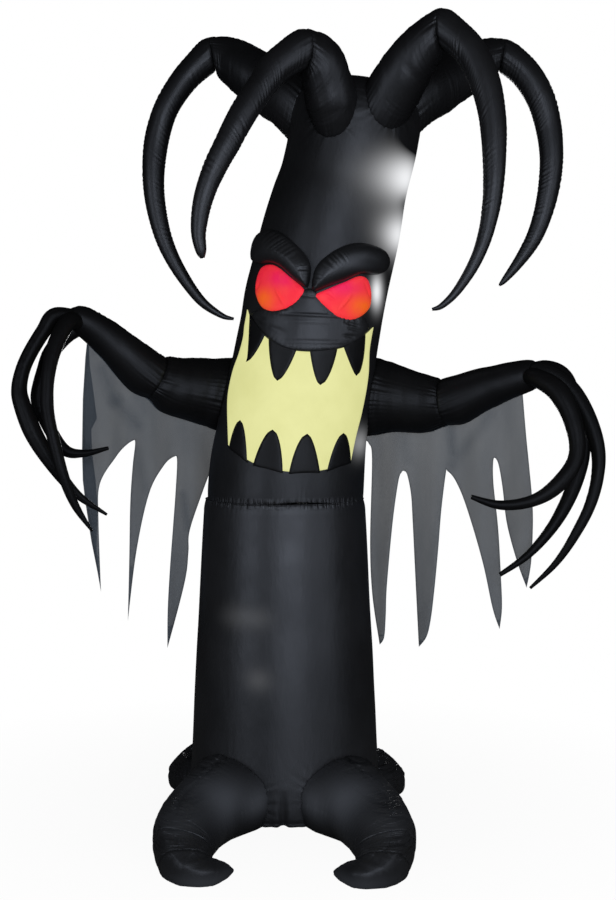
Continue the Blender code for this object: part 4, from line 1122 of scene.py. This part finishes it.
def add_foot(name, rows, seams, pieces, side, shift, around, counts, section, ridge):
    """One foot's pieces. ridge is where its puckered ridge runs: turns round it at its start and end."""
    rows = [(x * side + shift[0], y + shift[1], z, radius) for x, y, z, radius in rows]
    planes = ring_seams(rows, seams, side)
    points = unfolded(columns_of(even_path(rows, 0.6), around, (0, 0, 1), section))
    start = starts_outside(points, [lower_tree], 0.35)
    lower_rings.append(between(points, start, start + 1, 2)[0])
    low, rise = ridge[0], ridge[1] - ridge[0]
    for number, piece in enumerate(pieces):
        end = len(points) - 1.0
        if number < len(planes):
            point, ahead = planes[number]
            end = first_crossing(plane_gap(points, point - ahead * SEAM, ahead), start)
        part = between(points, start, end, counts[number], 0.3)
        share = (start + (end - start) * 0.5).mean() / len(points)
        at = side * (low + rise * share) % 1
        run = side * np.linspace(low, low + rise * 2 * share, len(part))[:, None] % 1
        ends, lines = {
            "root": (
                (("start", 0.030, 0.008, 0.050, 0.008), ("end", 0.030, 0.004, 0.030, 0.004)),
                (
                    (run, 0.030, 0.010, 0.055, 0.010, 0.012),
                    (-side * 0.24 % 1, 0.026, 0.008, 0.040, 0.004, 0.010),
                ),
            ),
            "gore": ((), ()),
            "band": ((("start", 0.040, 0.003, 0.020, 0.004),), ((at, 0.016, 0.006, 0.045, 0.004, 0.008),)),
            "toe": (
                (("start", 0.030, 0.003, 0.020, 0.005),),
                ((side * 0.27 % 1, 0.020, 0.004, 0.035, 0.003, 0.006, 0.0, 0.9),),
            ),
        }[piece]
        part = sewn(part, FOOT_SEED + 30 * number, ends, lines, dents=(0.003, 3, 3))
        add_tube(f"foot_{name}_{piece}", pressed_flat(part), FOOT_SATIN)
        start = end


# Columns: place, side, how far its front foot and its back foot are moved from the left one's mirror image
FOOT_SIDES = (("left", 1, (0, 0), (0, 0)), ("right", -1, FRONT_RIGHT_SHIFT, BACK_RIGHT_SHIFT))


def add_feet():
    for place, side, front_shift, back_shift in FOOT_SIDES:
        add_foot(
            f"front_{place}", FRONT_FOOT, FRONT_FOOT_SEAMS, FRONT_FOOT_PIECES, side, front_shift,
            around=160, counts=(84, 30, 30, 70),
            section=cornered(1.55, 2.0, (20 * side, 45 * side)), ridge=(0.000, 0.060),
        )
        add_foot(
            f"back_{place}", BACK_FOOT, BACK_FOOT_SEAMS, BACK_FOOT_PIECES, side, back_shift,
            around=96, counts=(70, 40),
            section=cornered(1.30, 3.2, (10 * side, 10 * side)), ridge=(0.02, 0.06),
        )


def add_trunk():
    """The trunk, its cloth pulled where horns, arms and feet are sewn on. Gives back its upper skin."""
    upper = pulled_at(upper_tube, upper_rings, 0.032, 0.0045, 0.030)
    lower = pulled_at(lower_tube, lower_rings, 0.034, 0.0014, 0.030)
    add_tube("trunk_upper", upper, UPPER_SATIN)
    add_tube("trunk_lower", lower, LOWER_SATIN)
    return upper


def smooth_outline(points, count):
    """A closed outline, made smooth."""
    near = 2
    around = [*points[-near:], *points, *points[: near + 1]]
    return smooth(around, near + np.arange(count) * len(points) / count)


def open_outline(edges, per_point):
    """Smooth edges joined at sharp corners."""
    parts = []
    for edge in edges:
        count = (len(edge) - 1) * per_point
        parts.append(smooth(edge, np.linspace(0, len(edge) - 1, count + 1))[:-1])
    return np.vstack(parts)


def inside_outline(places, outline):
    x, z = places[:, 0][:, None], places[:, 1][:, None]
    x1, z1 = outline[:, 0], outline[:, 1]
    x2, z2 = np.roll(x1, -1), np.roll(z1, -1)
    rising = (z1 > z) != (z2 > z)
    slope = np.where(z2 == z1, 1e-12, z2 - z1)
    return (rising & (x < x1 + (z - z1) * (x2 - x1) / slope)).sum(axis=1) % 2 == 1


def rim_of(places, outline):
    """Each place's distance from the outline, and how far along it, from 0 to 1, the nearest point is.

    The outline's length comes last."""
    run = np.roll(outline, -1, axis=0) - outline
    size = np.linalg.norm(run, axis=1)
    rel = places[:, None] - outline[None]
    share = np.clip((rel * run).sum(axis=2) / (size**2), 0, 1)
    gap = np.linalg.norm(rel - share[..., None] * run, axis=2)
    nearest = gap.argmin(axis=1)
    row = np.arange(len(places))
    before = np.concatenate([[0], np.cumsum(size)])
    place = (before[nearest] + share[row, nearest] * size[nearest]) / before[-1]
    return gap[row, nearest], place, before[-1]


def cut_cloth(outline, pitch):
    """A flat cut piece with a grid of points across it: its points, and its triangles."""
    low = outline.min(axis=0)
    high = outline.max(axis=0)
    xs = np.arange(low[0], high[0], pitch)
    zs = np.arange(low[1], high[1], pitch)
    grid = np.stack(np.meshgrid(xs, zs), axis=-1)
    grid[1::2, :, 0] += pitch / 2
    places = grid.reshape(-1, 2)
    places = places[inside_outline(places, outline)]
    places = places[rim_of(places, outline)[0] > pitch * 0.6]
    points = [Vector(point) for point in (*outline.tolist(), *places.tolist())]
    made = delaunay_2d_cdt(points, [], [list(range(len(outline)))], 1, 1e-6)
    return np.array([tuple(point) for point in made[0]]), np.array(made[2])


SIDE = 0.90  # the share of the trunk's radius past which the face's cloth is laid round its side


def on_trunk(places):
    """Where these places of the front view are on the trunk's skin, and which way is out there."""
    axis = np.array(UPPER_TRUNK)
    hits = np.empty((len(places), 3))
    for i, (x, z) in enumerate(places):
        centre = np.interp(z, axis[:, 2], axis[:, 0])
        share = (x - centre) / np.interp(z, axis[:, 2], axis[:, 3])
        turn = math.asin(min(abs(share), SIDE)) + max(abs(share) - SIDE, 0) / math.sqrt(1 - SIDE**2)
        way = Vector((math.copysign(math.sin(turn), share), -math.cos(turn), 0))
        hits[i] = upper_tree.ray_cast(Vector((centre, 0, z)), way)[0]
    middle = np.interp(hits[:, 2], axis[:, 2], axis[:, 0])
    out = hits - np.stack([middle, np.zeros(len(hits)), hits[:, 2]], axis=1)
    return hits, unit(out)


def closed_cloth(name, fronts, backs, triangles, edge=None):
    """A mesh between two layers of the same triangles, its rim closed.

    edge is each point's distance from a hem."""
    count = len(fronts)
    ends = np.concatenate([triangles[:, [0, 1]], triangles[:, [1, 2]], triangles[:, [2, 0]]])
    keys = np.sort(ends, axis=1)
    _, index, uses = np.unique(keys, axis=0, return_index=True, return_counts=True)
    rim = ends[index[uses == 1]]
    walls = np.concatenate([
        np.stack([rim[:, 1], rim[:, 0], rim[:, 0] + count], axis=1),
        np.stack([rim[:, 1], rim[:, 0] + count, rim[:, 1] + count], axis=1),
    ])
    faces = np.concatenate([triangles, triangles[:, ::-1] + count, walls])
    points = np.concatenate([fronts, backs])
    faces = facing_out(points, faces)
    uvs = None if edge is None else np.stack([edge[faces], points[faces][..., 2]], axis=-1)
    return mesh_object(name, points, faces, uvs)


def folded(flat, folds):
    """The height of these folds, each along its line and fading at its ends."""
    height = np.zeros(len(flat))
    for x1, z1, x2, z2, rise, width in folds:
        start = np.array((x1, z1))
        run = np.array((x2, z2)) - start
        share = np.clip(((flat - start) @ run) / (run @ run), 0, 1)
        gap = np.linalg.norm(flat - start - share[:, None] * run, axis=1)
        height += rise * np.exp(-((gap / width) ** 2)) * np.sqrt(np.sin(math.pi * np.clip(share, 0.04, 0.96)))
    return height


def puffed(name, outline, pitch, rim, crown, swell, puckers=None, lift=0.0005, folds=()):
    """A panel sewn down at its rim and blown out between, on the trunk's front.

    It is crown high from swell inside its rim. puckers run in from the rim: their pitch, height, reach, seed,
    and the part of the rim, from and to, where they are strong."""
    flat, triangles = cut_cloth(outline, pitch)
    hits, out = on_trunk(flat)
    depth, place, length = rim_of(flat, outline)
    share = np.clip(depth / min(swell, depth.max()), 0, 1)
    rise = rim + crown * np.sqrt(1 - (1 - share) ** 2)
    if puckers:
        spacing, height, reach, seed, strong = puckers
        weight = 0.15 + 0.85 * np.clip(np.minimum(place - strong[0], strong[1] - place) / 0.05 + 0.5, 0, 1)
        ribs = gathers(depth, place, length / spacing, height, reach, seed)
        rise = rise + ribs * weight * np.clip(depth / 0.004, 0, 1)
    rise = rise + folded(flat, folds) * np.clip(depth / 0.006, 0, 1)
    fronts = hits + out * (lift + np.maximum(rise, rim))[:, None]
    return closed_cloth(name, fronts, hits + out * lift, triangles)


def tooth_outline(row, steps=12):
    """A tooth from root to tip and back: each side straight, or full like a quarter of an ellipse."""
    left_x, left_z, tip_x, tip_z, right_x, right_z, left_full, right_full = row
    drop = np.arange(steps) / steps
    sides = []
    for root_x, root_z, fullness in ((left_x, left_z, left_full), (right_x, right_z, right_full)):
        sideways = (1 - fullness) * drop + fullness * (1 - np.sqrt(1 - drop * drop))
        across = root_x + (tip_x - root_x) * sideways
        sides.append(np.stack([across, root_z + (tip_z - root_z) * drop], axis=1))
    return np.vstack([sides[0], [(tip_x, tip_z)], sides[1][::-1]])


def add_panel(node, slot, look, fill, outline, **shape):
    """A panel of the face that stands for that CAD node. shape is what puffed takes."""
    dress(puffed("cloth_" + node, outline, **shape), node, look)


def add_face():
    edges = open_outline(MOUTH_EDGES, 8)
    add_panel("mouth", "yellow_cloth", YELLOW, 0.2, edges, pitch=0.008, rim=0.0035, crown=0.0, swell=0.01)
    for jaw, rows in TEETH.items():
        for number, row in enumerate(rows, 1):
            add_panel(
                f"tooth_{jaw}_{number}", "black_satin", ARM_SATIN if number in (1, 4) else TOOTH_SATIN, 0.3,
                tooth_outline(row), pitch=0.008, rim=0.0015, crown=0.003, swell=0.02, lift=0.0030,
            )
    for side, strong in (("left", (0.12, 0.52)), ("right", (0.0, 0.28))):
        add_panel(
            f"eye_{side}", "red_cloth", RED, 0.7, smooth_outline(EYES[side], 140), pitch=0.005, rim=0.003,
            crown=0.010, swell=0.03, puckers=(0.024, 0.0025, 0.012, EYE_SEED, (0.0, 0.35)), lift=0.0040,
            folds=EYE_DARTS[side],
        )
        add_panel(
            f"brow_{side}", "black_satin", FACE_SATIN, 0.9, smooth_outline(BROWS[side], 200), pitch=0.005,
            rim=0.003, crown=0.056, swell=0.08, puckers=(0.019, 0.0110, 0.030, BROW_SEED, strong),
            lift=0.0040,
        )
    add_panel(
        "muzzle", "black_satin", FACE_SATIN, 0.8, smooth_outline(MUZZLE, 240), pitch=0.005, rim=0.0030,
        crown=0.010, swell=0.05, puckers=(0.020, 0.0025, 0.018, MUZZLE_SEED, (0.0, 1.0)), lift=0.0030,
        folds=MUZZLE_FOLDS,
    )


def hem_of(rows, per_point=8):
    """The hem, smooth between its sharp points."""
    edges = []
    stretch = []
    for x, z, sharp in rows:
        stretch.append((x, z))
        if sharp and len(stretch) > 1:
            edges.append(stretch)
            stretch = [(x, z)]
    return np.vstack([open_outline(edges, per_point), [rows[-1][:2]]])


SHEET_GRID = 0.016
SHEET_HALF = 0.0006  # half the sheet's thickness
SWING = 0.022  # how far the sheet swings out of its plane in soft waves
SWING_PITCH = 0.19
SWING_DROP = 0.35  # how far below the arm the waves are full
LAYER_GAP = 0.006  # between the left sheet and its turned-back edge


def add_drapes():
    for side in ("left", "right"):
        arm = np.array([*ARMS[side][0], *ARMS[side][1][:-2]])
        arm = arm[np.argsort(arm[:, 0])]
        hem = hem_of(DRAPES[side])
        xs = np.linspace(hem[-1, 0], hem[0, 0], 60)[1:-1]
        tops = np.interp(xs, arm[:, 0], arm[:, 2]) - 0.75 * np.interp(xs, arm[:, 0], arm[:, 3])
        outline = np.vstack([hem, np.stack([xs, tops], axis=1)])
        flat, triangles = cut_cloth(outline, SHEET_GRID)
        layer = np.zeros(len(flat))
        edge = rim_of(flat, outline)[0]
        if side == "left":
            turned = np.array(TURNED_BACK)
            more, more_triangles = cut_cloth(turned, SHEET_GRID)
            triangles = np.vstack([triangles, more_triangles + len(flat)])
            flat = np.vstack([flat, more])
            layer = np.append(layer, np.ones(len(more)))
            edge = np.append(edge, rim_of(more, turned)[0])
        x, z = flat[:, 0], flat[:, 1]
        opened = np.clip((np.interp(x, arm[:, 0], arm[:, 2]) - z) / SWING_DROP, 0, 1)
        y = np.interp(x, arm[:, 0], arm[:, 1])
        y = y + SWING * opened * np.sin(2 * math.pi * x / SWING_PITCH) + LAYER_GAP * layer
        front, back = (np.stack([x, y + half, z], axis=1) for half in (-SHEET_HALF, SHEET_HALF))
        drape = closed_cloth(f"cloth_drape_{side}", front, back, triangles, np.tile(edge, 2))
        dress(drape, f"drape_{side}", GAUZE)


CAMERA = (0.109, -7.0, 2.027)
CAMERA_PITCH = 86.91
CAMERA_LENS = 60.48
SENSOR = 36


def add_camera():
    data = bpy.data.cameras.new("camera")
    data.sensor_fit = "VERTICAL"
    data.sensor_height = SENSOR
    data.lens = CAMERA_LENS
    data.clip_end = 60
    bpy.context.scene.camera = placed("camera", data, CAMERA, (math.radians(CAMERA_PITCH), 0, 0))


LIGHT_AIM = Vector((0, 0, 1.8))
# Columns: name, place, size, power
LIGHTS = (
    ("key", (1.0, -6.4, 2.5), (4.5, 4.6), 210),
    ("left", (-4.6, -4.6, 2.4), (2.6, 4.4), 95),
    ("right", (5.4, -4.2, 2.4), (3.0, 4.4), 70),
    ("back", (0.0, 6.5, 1.6), (0.8, 3.0), 90),
)
FLOOR_REACH = 30


def add_lights():
    for name, place, size, power in LIGHTS:
        data = bpy.data.lights.new(name, "AREA")
        data.shape = "RECTANGLE"
        data.size, data.size_y = size
        data.energy = power
        placed(name, data, place, (LIGHT_AIM - Vector(place)).to_track_quat("-Z", "Y").to_euler())


def add_studio():
    add_lights()
    world = bpy.data.worlds.new("studio")
    bpy.context.scene.world = world
    world.use_nodes = True
    tree = world.node_tree
    seen = tree.nodes.new("ShaderNodeLightPath").outputs["Is Camera Ray"]
    put(tree, tree.nodes["Background"], Color=(1, 1, 1, 1), Strength=remap(tree, seen, 0, 1, 0.008, 1.0))
    mesh = bpy.data.meshes.new("floor")
    corners = [(x * FLOOR_REACH, y * FLOOR_REACH, 0) for x, y in ((-1, -1), (1, -1), (1, 1), (-1, 1))]
    mesh.from_pydata(corners, [], [(0, 1, 2, 3)])
    floor = placed("floor", mesh)
    floor.data.materials.append(floor_look())
    bpy.context.scene.view_settings.view_transform = "Standard"


add_camera()
add_studio()
add_horns()
add_arms()
add_feet()
upper_tree = tree_of(add_trunk())
add_face()
add_drapes()
